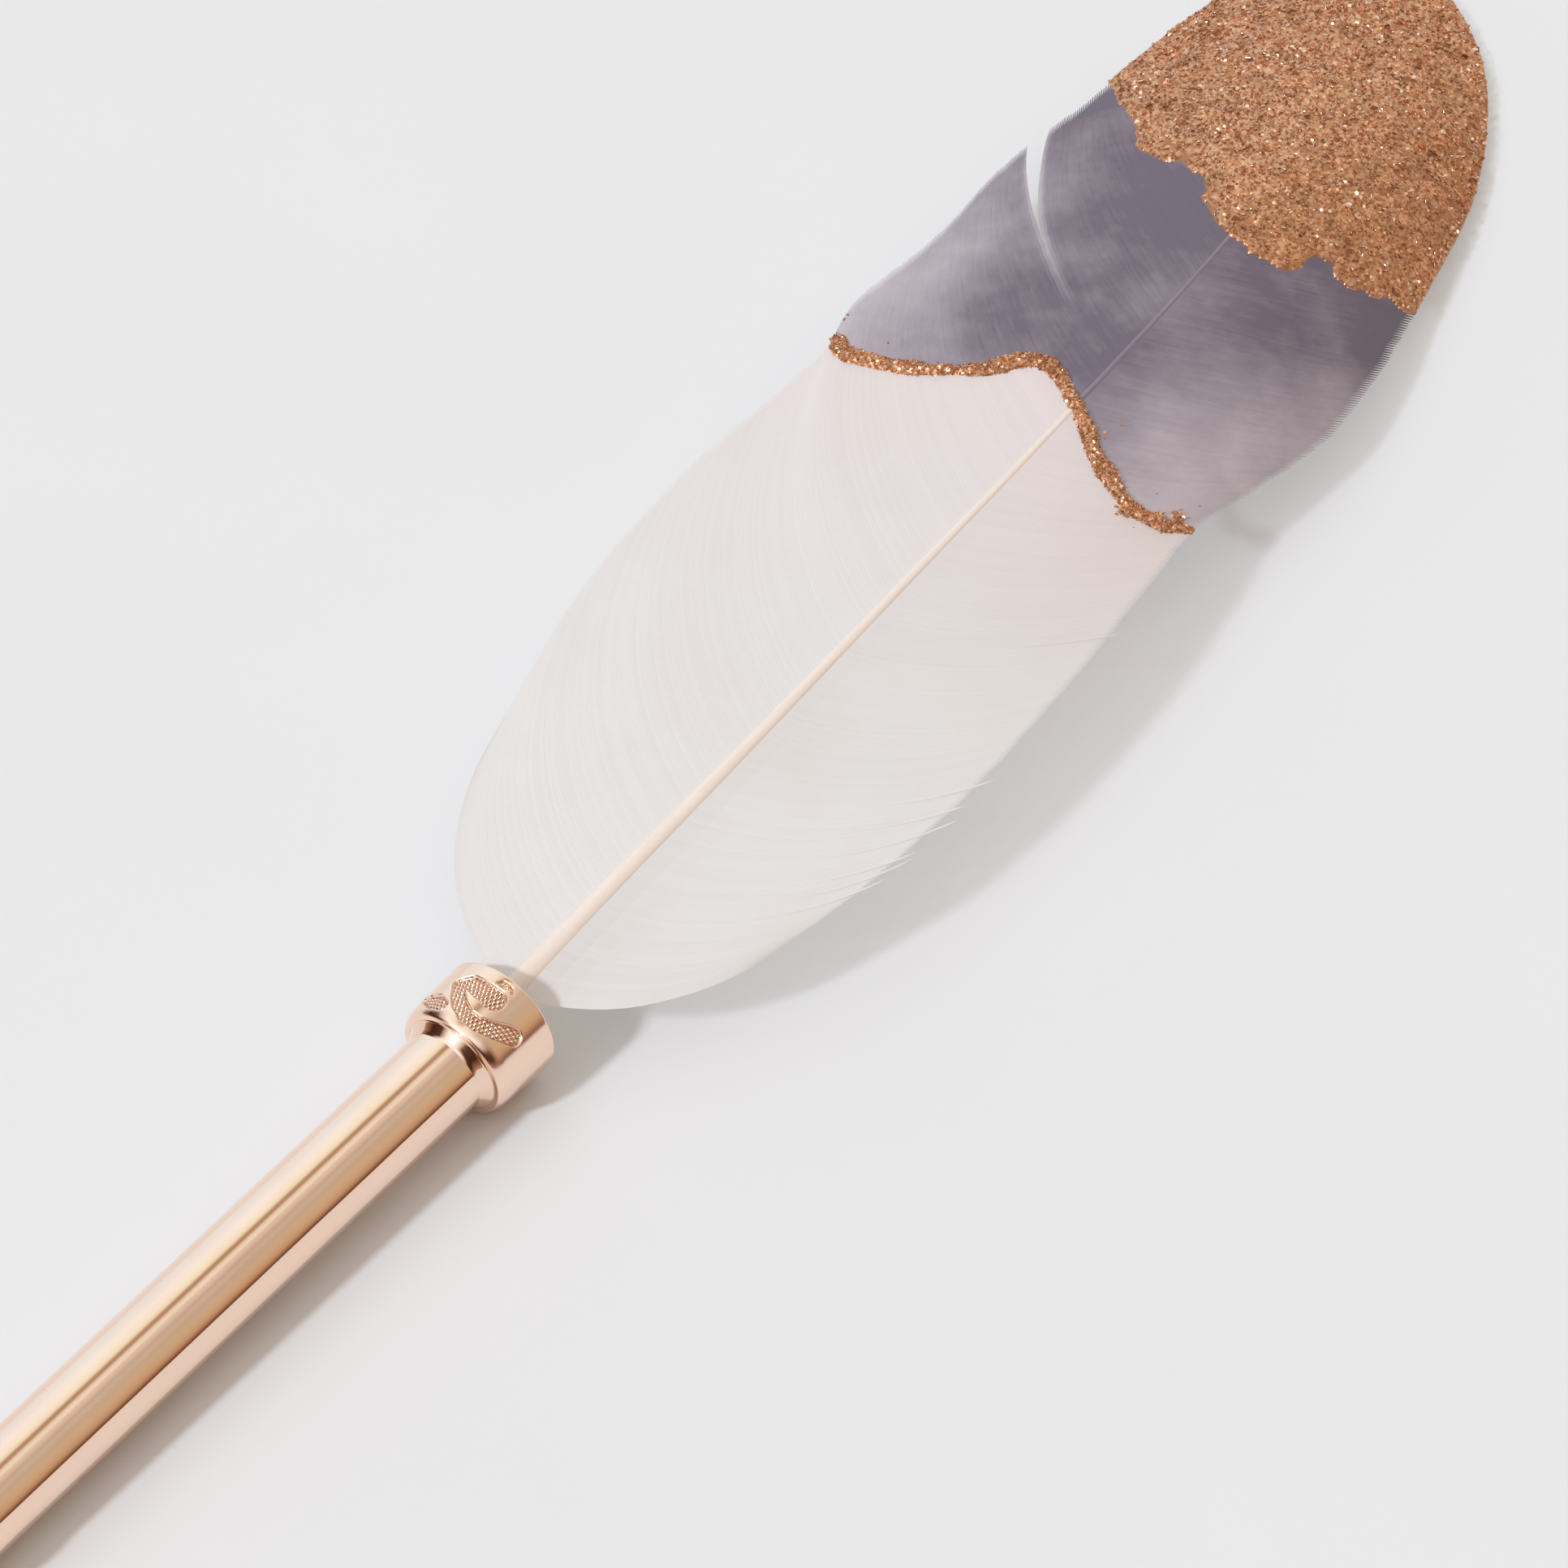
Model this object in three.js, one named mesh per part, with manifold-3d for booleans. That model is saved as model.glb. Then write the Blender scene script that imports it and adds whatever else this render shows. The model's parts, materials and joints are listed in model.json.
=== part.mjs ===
// A feather ballpoint pen, in millimetres. The pen is built lying along +Y about its own axis, with
// the front face of the ornamental collar at y = 0, the writing tip at -Y and the feather at +Y.
// At the end it is laid on a table: its lower barrel and its collar touch the plane z = 0.
import * as THREE from "three";
import { mergeVertices } from "three/addons/utils/BufferGeometryUtils.js";
import Module from "manifold-3d";

const wasm = await Module();
wasm.setup();

// ---- Driving dimensions ------------------------------------------------------------------------
const BARREL_R = 4.2;
const BARREL_WALL = 0.4;
const UPPER_LENGTH = 66; // from the barrel's front end to the collar's front face
const LOWER_LENGTH = 40;
const NOSE_LENGTH = 14;
const NOSE_TIP_WALL = 0.45; // wall round the hole for the refill's tip
const NOSE_SPIGOT = 5; // length of nose inside the lower barrel
const CENTRE_RING_STAND = 0.2; // how far the ring stands out from the barrels
const CENTRE_RING_WIDTH = 2;

const COLLAR_STAND = 1.7; // how far the collar's front end stands out from the barrel
const COLLAR_FLARE = 0.2; // how much larger its radius is at the rear end
const COLLAR_LENGTH = 7.4;
const COLLAR_EDGE = 0.35; // rounding of the collar's corners
const COLLAR_SOCKET = 4; // depth of the bore that takes the barrel
const COLLAR_WEB = 0.7; // thickness of the inner step between the two bores
const COLLAR_WEB_IN = 0.8; // how far that step reaches in behind the barrel's end
const COLLAR_CUP_WALL = 1.4; // wall of the collar round the plug that grips the quill
const NECK_RING_STAND = 0.3;
const NECK_RING_WIDTH = 1.3;
const NECK_RING_SEAT = 0.3; // depth of the recess in the collar's front that the ring lies in

const PLUG_RECESS = 0.6; // the plug lies this far inside the collar's rear rim
const QUILL_R = 1.3;
const QUILL_INSET = 7; // length of quill that is hidden inside the collar
const QUILL_GAP_ROOT = 1.5; // from the quill's root up to the bore of the barrel it reaches into
const QUILL_GAP_MOUTH = 1.5; // from the quill up to the collar's cup, at the collar's mouth
const SHAFT_TIP_R = 0.16;
const SHAFT_TAPER = 2.2; // power by which the shaft thins from the quill to its tip

const TWIST = Math.PI; // turn between tip in and tip out
const REFILL_TRAVEL = 5.5;
const TIP_RECESS = 2.4; // how far the ball lies inside the nose while the tip is in
const CAM_WALL = 0.5;
const CAM_LENGTH = 15;
const HOUSING_WALL = 0.5;
const SPIGOT_LENGTH = 9; // the part of the housing that the lower barrel screws onto
const SHUTTLE_LENGTH = 15;
const SHUTTLE_TAIL = 4.5; // from the lug to the shuttle's rear end
const REFILL_GRIP = 9.5; // length of refill inside the shuttle
const LUG_R = 0.7;
const BUSH_LENGTH = 7.5;
const RETAINER_WIDTH = 1.5;

const REFILL_R = 1.5;
const REFILL_WALL = 0.25;
const REFILL_LENGTH = 93;
const TIP_NECK_R = 1.15;
const TIP_NECK_LENGTH = 4.4;
const TIP_SHOULDER = 0.4; // length of the tip's shoulder, which is as wide as the tube
const TIP_CONE_LENGTH = 1.75;
const BALL_R = 0.35;
const INK_SHARE = 0.78; // how full a fresh refill is

const PRESS = 0.03; // gap of a pressed or glued fit
const RUN = 0.08; // gap of a running fit
const SEAT = 0.05; // gap between faces that rest on each other
const GUIDE = 0.15; // gap round the tip in the nose, and before its shoulder with the tip out
const SOFT_GAP = 0.15; // gap between the feather's shaft and its vanes

const FEATHER_SCALE = 1; // size of the feather against its lines as they are drawn below
const VANE_ROOT_THICKNESS = 0.45;
const VANE_EDGE_THICKNESS = 0.3;
const CAMBER = 1.6; // power by which a barb droops towards its tip
const GLITTER_GAP = 0.35;
const GLITTER_THICKNESS = 0.5;
const GLITTER_LINE_WIDTH = 1.6;
const BRIDGE_EXTRA = 0.08; // the crust is this much thicker where it bridges the shaft

const ROUND_OUTER = 48; // facets round the outside pieces
const ROUND_INNER = 24;
const ROUND_SMALL = 16;

// ---- Stations along the pen, worked out from the dimensions above ------------------------------
const BORE_R = BARREL_R - BARREL_WALL;
const CENTRE_RING_R = BARREL_R + CENTRE_RING_STAND;
const NECK_RING_R = BARREL_R + NECK_RING_STAND;
const COLLAR_R = BARREL_R + COLLAR_STAND;
const COLLAR_REAR_R = COLLAR_R + COLLAR_FLARE;
const COLLAR_CUP_R = COLLAR_REAR_R - COLLAR_CUP_WALL;
const NOSE_HOLE_R = TIP_NECK_R + GUIDE;
const UPPER_FRONT = -UPPER_LENGTH;
const RING_FRONT = UPPER_FRONT - SEAT - CENTRE_RING_WIDTH;
const LOWER_REAR = RING_FRONT - SEAT;
const LOWER_FRONT = LOWER_REAR - LOWER_LENGTH;
const NOSE_FRONT = LOWER_FRONT - NOSE_LENGTH;
const BALL_Y = NOSE_FRONT + TIP_RECESS + BALL_R;
const TIP_REAR = BALL_Y + TIP_CONE_LENGTH + TIP_NECK_LENGTH;
const NOSE_HOLE_REAR = TIP_REAR - TIP_SHOULDER - REFILL_TRAVEL - GUIDE;
const REFILL_REAR = TIP_REAR + REFILL_LENGTH;
const SHUTTLE_FRONT = REFILL_REAR - REFILL_GRIP;
const SHUTTLE_REAR = SHUTTLE_FRONT + SHUTTLE_LENGTH;
const LUG_Y = SHUTTLE_REAR - SHUTTLE_TAIL; // with the tip in
const CAM_REAR = LUG_Y + (CAM_LENGTH - REFILL_TRAVEL) / 2; // the track's middle is the sleeve's
const CAM_FRONT = CAM_REAR - CAM_LENGTH;
const HOUSING_REAR = CAM_REAR + SEAT + RETAINER_WIDTH + 1.2;
const HOUSING_FRONT = LOWER_REAR - SPIGOT_LENGTH;
const CAM_OUTER = BORE_R - PRESS;
const CAM_BORE = CAM_OUTER - CAM_WALL;
const HOUSING_R = CAM_BORE - RUN;
const HOUSING_BORE = HOUSING_R - HOUSING_WALL;
const SHUTTLE_R = HOUSING_BORE - RUN;
const COLLAR_WIDEST = COLLAR_LENGTH - COLLAR_EDGE; // where its rear rounding begins
const PLUG_FRONT = COLLAR_SOCKET + COLLAR_WEB + SEAT;
const PLUG_REAR = COLLAR_LENGTH - PLUG_RECESS;
const MOUTH = new THREE.Vector3(0, COLLAR_LENGTH, 0);

// ---- Finishes ----------------------------------------------------------------------------------
function finish(color, roughness, metalness) {
  return { color, roughness, metalness };
}
const ROSE_GOLD = finish(0xe9b898, 0.12, 1);
const BRASS = finish(0xc9a25c, 0.3, 1);
const NYLON = finish(0xe8e6df, 0.5, 0);
const INK = finish(0x15151c, 0.3, 0);
const GREASE = finish(0xd8c98a, 0.25, 0);
const STEEL = finish(0xb8bcc2, 0.15, 1);
const HORN = finish(0xf0dfcb, 0.4, 0);
const FEATHER = finish(0xe6e1de, 0.8, 0);
const GLITTER = finish(0xb17c57, 0.45, 0.6);

// ---- Solids ------------------------------------------------------------------------------------
// A closed geometry as a solid that can be joined and cut.
function solid(geometry) {
  const bare = geometry.clone();
  bare.deleteAttribute("normal");
  bare.deleteAttribute("uv");
  const merged = mergeVertices(bare, 1e-4);
  return new wasm.Manifold(
    new wasm.Mesh({
      numProp: 3,
      vertProperties: merged.attributes.position.array,
      triVerts: new Uint32Array(merged.index.array),
    }),
  );
}

function geometryOf(shape) {
  const mesh = shape.getMesh();
  const geometry = new THREE.BufferGeometry();
  geometry.setAttribute("position", new THREE.BufferAttribute(mesh.vertProperties, 3));
  geometry.setIndex(new THREE.BufferAttribute(mesh.triVerts, 1));
  geometry.computeVertexNormals();
  return geometry;
}

// A piece turned on a lathe about the pen's axis, from its section: [radius, station] corners. A
// section that meets the axis starts and ends on it.
function turned(corners, facets = ROUND_INNER) {
  const points = corners.map(([r, y]) => new THREE.Vector2(r, y));
  if (THREE.ShapeUtils.area(points) < 0) points.reverse();
  const onAxis = points.filter((p) => p.x === 0).length;
  if (!onAxis) points.push(points[0].clone());
  return new THREE.LatheGeometry(points, facets);
}

function tube(outer, inner, front, rear, facets = ROUND_INNER) {
  return turned([[inner, front], [outer, front], [outer, rear], [inner, rear]], facets);
}

// A quarter of a circle, from one corner of a section to the next, about the given centre.
function rounding(r, y, radius, from, to, steps = 4) {
  return Array.from({ length: steps + 1 }, (_, i) => {
    const a = from + ((to - from) * i) / steps;
    return [r + radius * Math.cos(a), y + radius * Math.sin(a)];
  });
}

// Moves every vertex of a geometry to the place that the rule gives for it.
function mapped(geometry, rule) {
  const place = geometry.attributes.position;
  const v = new THREE.Vector3();
  for (let i = 0; i < place.count; i++) {
    rule(v.fromBufferAttribute(place, i));
    place.setXYZ(i, v.x, v.y, v.z);
  }
  return geometry;
}

// A turned solid may come out inside out after a mapping that mirrors it: this turns it round.
function outward(geometry) {
  if (solid(geometry).volume() > 0) return geometry;
  const index = geometry.index.array;
  for (let i = 0; i < index.length; i += 3) [index[i + 1], index[i + 2]] = [index[i + 2], index[i + 1]];
  return geometry;
}

// ---- Barrels, rings and nose -------------------------------------------------------------------
function upperBarrel() {
  return tube(BARREL_R, BORE_R, UPPER_FRONT, COLLAR_SOCKET - SEAT, ROUND_OUTER);
}

function lowerBarrel() {
  return tube(BARREL_R, BORE_R, LOWER_FRONT, LOWER_REAR, ROUND_OUTER);
}

function centreRing() {
  const bore = HOUSING_R + PRESS;
  const edge = 0.3;
  return turned(
    [
      [bore, RING_FRONT],
      ...rounding(CENTRE_RING_R - edge, RING_FRONT + edge, edge, -Math.PI / 2, 0),
      ...rounding(CENTRE_RING_R - edge, UPPER_FRONT - SEAT - edge, edge, 0, Math.PI / 2),
      [bore, UPPER_FRONT - SEAT],
    ],
    ROUND_OUTER,
  );
}

// The nose narrows along a shallow curve, and steps in to a spigot that is pressed into the barrel.
function noseCone() {
  const tipR = NOSE_HOLE_R + NOSE_TIP_WALL;
  const outside = new THREE.QuadraticBezierCurve(
    new THREE.Vector2(tipR, NOSE_FRONT),
    new THREE.Vector2(tipR + 0.7 * (BARREL_R - tipR), NOSE_FRONT + 0.42 * NOSE_LENGTH),
    new THREE.Vector2(BARREL_R, LOWER_FRONT - SEAT),
  );
  const spigotR = BORE_R - PRESS;
  const spigotRear = LOWER_FRONT + NOSE_SPIGOT;
  return turned(
    [
      [NOSE_HOLE_R, NOSE_FRONT],
      ...outside.getPoints(10).map((p) => [p.x, p.y]),
      [spigotR, LOWER_FRONT - SEAT],
      [spigotR, spigotRear],
      [spigotR - 0.5, spigotRear],
      [REFILL_R + 2 * GUIDE, NOSE_HOLE_REAR + 3],
      [REFILL_R + GUIDE, NOSE_HOLE_REAR],
      [NOSE_HOLE_R, NOSE_HOLE_REAR],
    ],
    ROUND_OUTER,
  );
}

// ---- Collar and neck ring ----------------------------------------------------------------------
// The collar is bored from both ends: the front bore takes the barrel, with a shallow recess round
// it for the neck ring, and the rear cup takes the plug. Outside it is a cone that flares very little
// from front to rear, with rounded ends.
function collar() {
  const bore = BARREL_R + PRESS;
  const recess = NECK_RING_R + PRESS;
  const webR = BARREL_R - COLLAR_WEB_IN;
  const quarter = Math.PI / 2;
  return turned(
    [
      [bore, NECK_RING_SEAT],
      [recess, NECK_RING_SEAT],
      [recess, 0],
      ...rounding(COLLAR_R - COLLAR_EDGE, COLLAR_EDGE, COLLAR_EDGE, -quarter, 0),
      ...rounding(COLLAR_REAR_R - COLLAR_EDGE, COLLAR_WIDEST, COLLAR_EDGE, 0, quarter),
      [COLLAR_CUP_R, COLLAR_LENGTH],
      [COLLAR_CUP_R, COLLAR_SOCKET + COLLAR_WEB],
      [webR, COLLAR_SOCKET + COLLAR_WEB],
      [webR, COLLAR_SOCKET],
      [bore, COLLAR_SOCKET],
    ],
    ROUND_OUTER,
  );
}

function neckRing() {
  const edge = 0.2;
  const bore = BARREL_R + PRESS;
  const rear = NECK_RING_SEAT - SEAT;
  const front = rear - NECK_RING_WIDTH;
  return turned(
    [
      [bore, front],
      ...rounding(NECK_RING_R - edge, front + edge, edge, -Math.PI / 2, 0),
      [NECK_RING_R, rear],
      [bore, rear],
    ],
    ROUND_OUTER,
  );
}

// ---- Twist mechanism ---------------------------------------------------------------------------
// Angles round the pen are counted from +Z towards +X, as a turn about +Y goes.
function onCylinder(radius, angle, y) {
  return new THREE.Vector3(radius * Math.sin(angle), y, radius * Math.cos(angle));
}

// A round peg that points out from the pen's axis.
function radialPeg(radius, inner, outer, angle, y, facets = ROUND_SMALL) {
  const peg = new THREE.CylinderGeometry(radius, radius, outer - inner, facets);
  peg.rotateX(Math.PI / 2);
  peg.translate(0, 0, (inner + outer) / 2);
  peg.rotateY(angle);
  peg.translate(0, y, 0);
  return peg;
}

// The lug's track round the sleeve: as the angle grows by TWIST, the track runs REFILL_TRAVEL forwards.
function trackY(angle) {
  return LUG_Y - (REFILL_TRAVEL * angle) / TWIST;
}

// The cutter for the helical slot is a flat bar bent round the sleeve along the track, with a peg at
// each end. Its sides stand square to the track, as the lug needs.
function helicalCutter(halfWidth, inner, outer) {
  const middle = (inner + outer) / 2;
  const slope = Math.atan2(REFILL_TRAVEL, TWIST * middle);
  const bar = new THREE.BoxGeometry(1, 2 * halfWidth, outer - inner, 40, 1, 1);
  mapped(bar, (v) => {
    const along = (v.x + 0.5) * TWIST;
    const angle = along + (v.y * Math.sin(slope)) / middle;
    const y = trackY(along) + v.y * Math.cos(slope);
    v.copy(onCylinder(middle + v.z, angle, y));
  });
  return [0, TWIST].reduce(
    (cutter, angle) => cutter.add(solid(radialPeg(halfWidth, inner, outer, angle, trackY(angle)))),
    solid(outward(bar)),
  );
}

function camSleeve() {
  const sleeve = solid(tube(CAM_OUTER, CAM_BORE, CAM_FRONT, CAM_REAR, ROUND_OUTER));
  return geometryOf(sleeve.subtract(helicalCutter(LUG_R + RUN, CAM_BORE - 1, CAM_OUTER + 1)));
}

// The housing is one tube: its rear part runs inside the cam sleeve and has the straight slot that
// the lug slides in, and its front part is the spigot for the lower barrel.
function mechanismHousing() {
  const halfWidth = LUG_R + RUN;
  const inner = HOUSING_BORE - 1;
  const outer = HOUSING_R + 1;
  const slot = new THREE.BoxGeometry(2 * halfWidth, REFILL_TRAVEL, outer - inner);
  slot.translate(0, LUG_Y - REFILL_TRAVEL / 2, (inner + outer) / 2);
  const cutter = solid(slot)
    .add(solid(radialPeg(halfWidth, inner, outer, 0, LUG_Y)))
    .add(solid(radialPeg(halfWidth, inner, outer, 0, LUG_Y - REFILL_TRAVEL)));
  const body = solid(tube(HOUSING_R, HOUSING_BORE, HOUSING_FRONT, HOUSING_REAR));
  return geometryOf(body.subtract(cutter));
}

function retainingRing() {
  return tube(BORE_R - RUN, HOUSING_R + PRESS, CAM_REAR + SEAT, CAM_REAR + SEAT + RETAINER_WIDTH);
}

function frontBush() {
  const front = UPPER_FRONT + SEAT;
  return tube(BORE_R - PRESS, HOUSING_R + RUN, front, front + BUSH_LENGTH);
}

function threadInsert() {
  const rear = LOWER_REAR - SEAT;
  return tube(BORE_R - PRESS, HOUSING_R + RUN, rear - SPIGOT_LENGTH, rear);
}

// The shuttle grips the refill in front, and its lug reaches out through both slots.
function shuttle() {
  const socket = REFILL_R + PRESS;
  const body = turned([
    [0, REFILL_REAR + SEAT],
    [socket, REFILL_REAR + SEAT],
    [socket, SHUTTLE_FRONT],
    [SHUTTLE_R, SHUTTLE_FRONT],
    [SHUTTLE_R, SHUTTLE_REAR],
    [0, SHUTTLE_REAR],
  ]);
  const lug = radialPeg(LUG_R, 1, CAM_OUTER - RUN, 0, LUG_Y);
  return geometryOf(solid(body).add(solid(lug)));
}

// ---- Refill ------------------------------------------------------------------------------------
const REFILL_BORE = REFILL_R - REFILL_WALL;
const TIP_TAIL = 3; // the part of the tip that is pressed into the refill's tube
const INK_FRONT = TIP_REAR + TIP_TAIL + SEAT;
const INK_REAR = INK_FRONT + INK_SHARE * (REFILL_REAR - INK_FRONT);
const GREASE_LENGTH = 4;

function refillTube() {
  return tube(REFILL_R, REFILL_BORE, TIP_REAR, REFILL_REAR, ROUND_INNER);
}

function refillTip() {
  const socketR = BALL_R + 0.04;
  const mouth = 0.8; // half angle of ball that stands out of its socket
  const lipR = socketR * Math.sin(mouth);
  const cup = rounding(0, BALL_Y, socketR, Math.PI / 2, mouth - Math.PI / 2, 8);
  return turned(
    [
      ...cup.map(([r, y], i) => [i === 0 ? 0 : r, y]),
      [lipR + 0.06, BALL_Y - socketR * Math.cos(mouth)],
      [TIP_NECK_R * 0.72, BALL_Y + TIP_CONE_LENGTH * 0.62],
      [TIP_NECK_R, BALL_Y + TIP_CONE_LENGTH],
      [TIP_NECK_R, TIP_REAR - TIP_SHOULDER],
      [REFILL_R, TIP_REAR - 0.75 * TIP_SHOULDER],
      [REFILL_R, TIP_REAR - SEAT],
      [REFILL_BORE - PRESS, TIP_REAR - SEAT],
      [REFILL_BORE - PRESS, TIP_REAR + TIP_TAIL],
      [0, TIP_REAR + TIP_TAIL],
    ],
    ROUND_SMALL,
  );
}

function ball() {
  const geometry = new THREE.SphereGeometry(BALL_R, ROUND_SMALL, 12);
  return geometry.translate(0, BALL_Y, 0);
}

function plugIn(refillPart, front, rear) {
  return turned([[0, front], [refillPart, front], [refillPart, rear], [0, rear]], ROUND_SMALL);
}

function inkColumn() {
  return plugIn(REFILL_BORE - PRESS, INK_FRONT, INK_REAR);
}

function greaseFollower() {
  return plugIn(REFILL_BORE - PRESS, INK_REAR + SEAT, INK_REAR + SEAT + GREASE_LENGTH);
}

// ---- Feather -----------------------------------------------------------------------------------
// The feather's lines are drawn as points from the collar's mouth: x to the right, y along, z up
// from the pen's axis.
function drawn([x, y, z = 0]) {
  return new THREE.Vector3(x, y, z).multiplyScalar(FEATHER_SCALE).add(MOUTH);
}
function line(points) {
  return new THREE.CatmullRomCurve3(points.map(drawn));
}

// The feather leaves the collar leaning up, arches over and droops towards its tip, which bends to
// the left. The two points inside the collar are set by the bores that they lie in.
const SHAFT_LINE = new THREE.CatmullRomCurve3([
  new THREE.Vector3(0, COLLAR_LENGTH - QUILL_INSET, BORE_R - QUILL_R - QUILL_GAP_ROOT),
  new THREE.Vector3(0, COLLAR_LENGTH + 1, COLLAR_CUP_R - QUILL_R - QUILL_GAP_MOUTH),
  ...[
    [0.1, 15.6, 3.6],
    [0.2, 31.6, 5.1],
    [-0.7, 57.6, 5.9],
    [-2.3, 86.6, 5.7],
    [-6.3, 120.6, 3.2],
    [-13.7, 146.6, -1.3],
    [-21.2, 162.6, -4.5],
  ].map(drawn),
]);
const SHAFT_LENGTH = SHAFT_LINE.getLength();
const FIRST_BARB = 1; // distance of the lowest barbs' roots from the collar
const LEFT_VANE = {
  side: -1,
  rootPower: 1.4, // above 1, the barbs' roots crowd towards the collar and the barbs slant more
  edge: line([
    [-20.8, 22.4, 2],
    [-27, 44.6, 1.7],
    [-29.2, 64.6, 1],
    [-29, 82.6, 0.5],
    [-30.9, 89.6, 0.1],
    [-31, 102.6, -1.1],
    [-32.6, 115.6, -2.5],
    [-32.7, 129.6, -4.4],
    [-33.8, 146.6, -7.7],
    [-32, 158.1, -8.3],
    [-27.5, 164.9, -7.8],
    [-21.9, 167.6, -6.8],
  ]),
};
const RIGHT_VANE = {
  side: 1,
  rootPower: 1,
  edge: line([
    [15.8, 17.8, 2.5],
    [18.4, 28.6, 4.2],
    [19.3, 42.6, 4.7],
    [18.2, 59.6, 4.3],
    [16, 74.6, 3.1],
    [14.1, 85.1, 1.6],
    [14.6, 94.6, -0.3],
    [15.1, 105.1, -2],
    [12.9, 116.6, -3.6],
    [9.8, 127.6, -4.7],
    [4.4, 144.4, -5.6],
    [-4.5, 158.2, -6],
    [-13.5, 165, -6.4],
    [-21.2, 167.6, -6.8],
  ]),
};

// The shaft is a tapered horn rod: the bare quill at its root, the thin rachis at its tip.
function shaftRadius(share) {
  const bare = (QUILL_INSET + 2) / SHAFT_LENGTH;
  if (share < bare) return QUILL_R;
  return SHAFT_TIP_R + (QUILL_R - SHAFT_TIP_R) * Math.pow((1 - share) / (1 - bare), SHAFT_TAPER);
}

function quillShaft(extra = 0) {
  const rod = new THREE.CylinderGeometry(1, 1, 1, 12, 44);
  mapped(rod, (v) => {
    const share = v.y + 0.5;
    const centre = SHAFT_LINE.getPointAt(share);
    const along = SHAFT_LINE.getTangentAt(share);
    const right = new THREE.Vector3(0, 0, 1).cross(along).normalize().negate();
    const up = right.clone().cross(along);
    const r = shaftRadius(share) + extra;
    v.copy(centre.addScaledVector(right, v.x * r).addScaledVector(up, v.z * r));
  });
  return outward(rod);
}

const FIRST_ROOT = (QUILL_INSET + FIRST_BARB) / SHAFT_LENGTH;

// A point of a vane: t runs along the feather from its lowest barb to its tip, s out along one barb.
// The barb is a quadratic Bezier curve in plan, which leaves the shaft steeply and bends towards
// the feather's tip, and it droops from root to tip by the power CAMBER.
function vanePoint(vane, t, s) {
  const share = THREE.MathUtils.lerp(FIRST_ROOT, 1, Math.pow(t, vane.rootPower));
  const root = SHAFT_LINE.getPointAt(share);
  root.x += vane.side * (shaftRadius(share) + SOFT_GAP);
  const tip = vane.edge.getPointAt(t);
  const across = THREE.MathUtils.lerp(0.75, 0.6, t);
  const bend = (control) => 2 * s * (1 - s) * control + s * s;
  return new THREE.Vector3(
    THREE.MathUtils.lerp(root.x, tip.x, bend(across)),
    THREE.MathUtils.lerp(root.y, tip.y, bend(1 - across)),
    THREE.MathUtils.lerp(root.z, tip.z, Math.pow(s, CAMBER)),
  );
}

// A layer that follows a vane, between two heights above its middle surface.
function vaneLayer(vane, bottom, top, stepsAlong = 36, stepsOut = 7) {
  const sheet = new THREE.BoxGeometry(1, 1, 1, stepsAlong, stepsOut, 1);
  mapped(sheet, (v) => {
    const s = v.y + 0.5;
    const height = v.z > 0 ? top(s) : bottom(s);
    v.copy(vanePoint(vane, v.x + 0.5, s));
    v.z += height;
  });
  return outward(sheet);
}

function vaneTop(s) {
  return THREE.MathUtils.lerp(VANE_ROOT_THICKNESS, VANE_EDGE_THICKNESS, s) / 2;
}

function vaneSolid(vane) {
  return solid(vaneLayer(vane, (s) => -vaneTop(s), vaneTop));
}

// A straight-sided block over an outline in plan, to cut the feather's layers with.
function overOutline(points) {
  const depth = 40;
  const shape = new THREE.Shape(points.map((p) => new THREE.Vector2(p.x, p.y)));
  const block = new THREE.ExtrudeGeometry(shape, { depth, bevelEnabled: false });
  return solid(block.translate(0, 0, -depth / 2));
}

// The split in the left vane follows its barbs, and opens towards the edge.
function leftVane() {
  const split = [
    [-23.5, 106.1],
    [-26.2, 112.1],
    [-30.9, 120.9],
    [-36, 128.6],
    [-36, 125.6],
    [-31.9, 119.4],
    [-26.7, 111],
  ];
  return geometryOf(vaneSolid(LEFT_VANE).subtract(overOutline(split.map(drawn))));
}

function rightVane() {
  return geometryOf(vaneSolid(RIGHT_VANE));
}

// The glitter is a thin crust over both vanes and the shaft between them.
function crust() {
  const bottom = (s) => vaneTop(s) + GLITTER_GAP;
  const top = (s) => bottom(s) + GLITTER_THICKNESS;
  const bridge = new THREE.BoxGeometry(1, 1, 1, 40, 1, 1);
  mapped(bridge, (v) => {
    const share = v.x + 0.5;
    const reach = shaftRadius(share) + SOFT_GAP + 0.4;
    const centre = SHAFT_LINE.getPointAt(share);
    const height = v.z > 0 ? top(0) + BRIDGE_EXTRA : bottom(0) - BRIDGE_EXTRA;
    v.set(centre.x + 2 * v.y * reach, centre.y, centre.z + height);
  });
  return solid(vaneLayer(LEFT_VANE, bottom, top))
    .add(solid(vaneLayer(RIGHT_VANE, bottom, top)))
    .add(solid(outward(bridge)));
}

// The painted zones meet in a wavy line, which a bead of glitter covers.
const GLITTER_PATH = line([
  [-29, 84.2],
  [-26, 82.3],
  [-20, 82.8],
  [-14, 85.4],
  [-8.6, 90.4],
  [-3, 87.8],
  [3.1, 84],
  [8.6, 81.8],
  [11.6, 82.5],
  [14.1, 84.8],
]);

function glitterLine() {
  const steps = 32;
  const offset = (i, side) => {
    const p = GLITTER_PATH.getPointAt(i / steps);
    const along = GLITTER_PATH.getTangentAt(i / steps);
    const half = (side * GLITTER_LINE_WIDTH) / 2;
    return new THREE.Vector2(p.x - along.y * half, p.y + along.x * half);
  };
  const near = Array.from({ length: steps + 1 }, (_, i) => offset(i, -1));
  const far = Array.from({ length: steps + 1 }, (_, i) => offset(steps - i, 1));
  return geometryOf(crust().intersect(overOutline([...near, ...far])));
}

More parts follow.
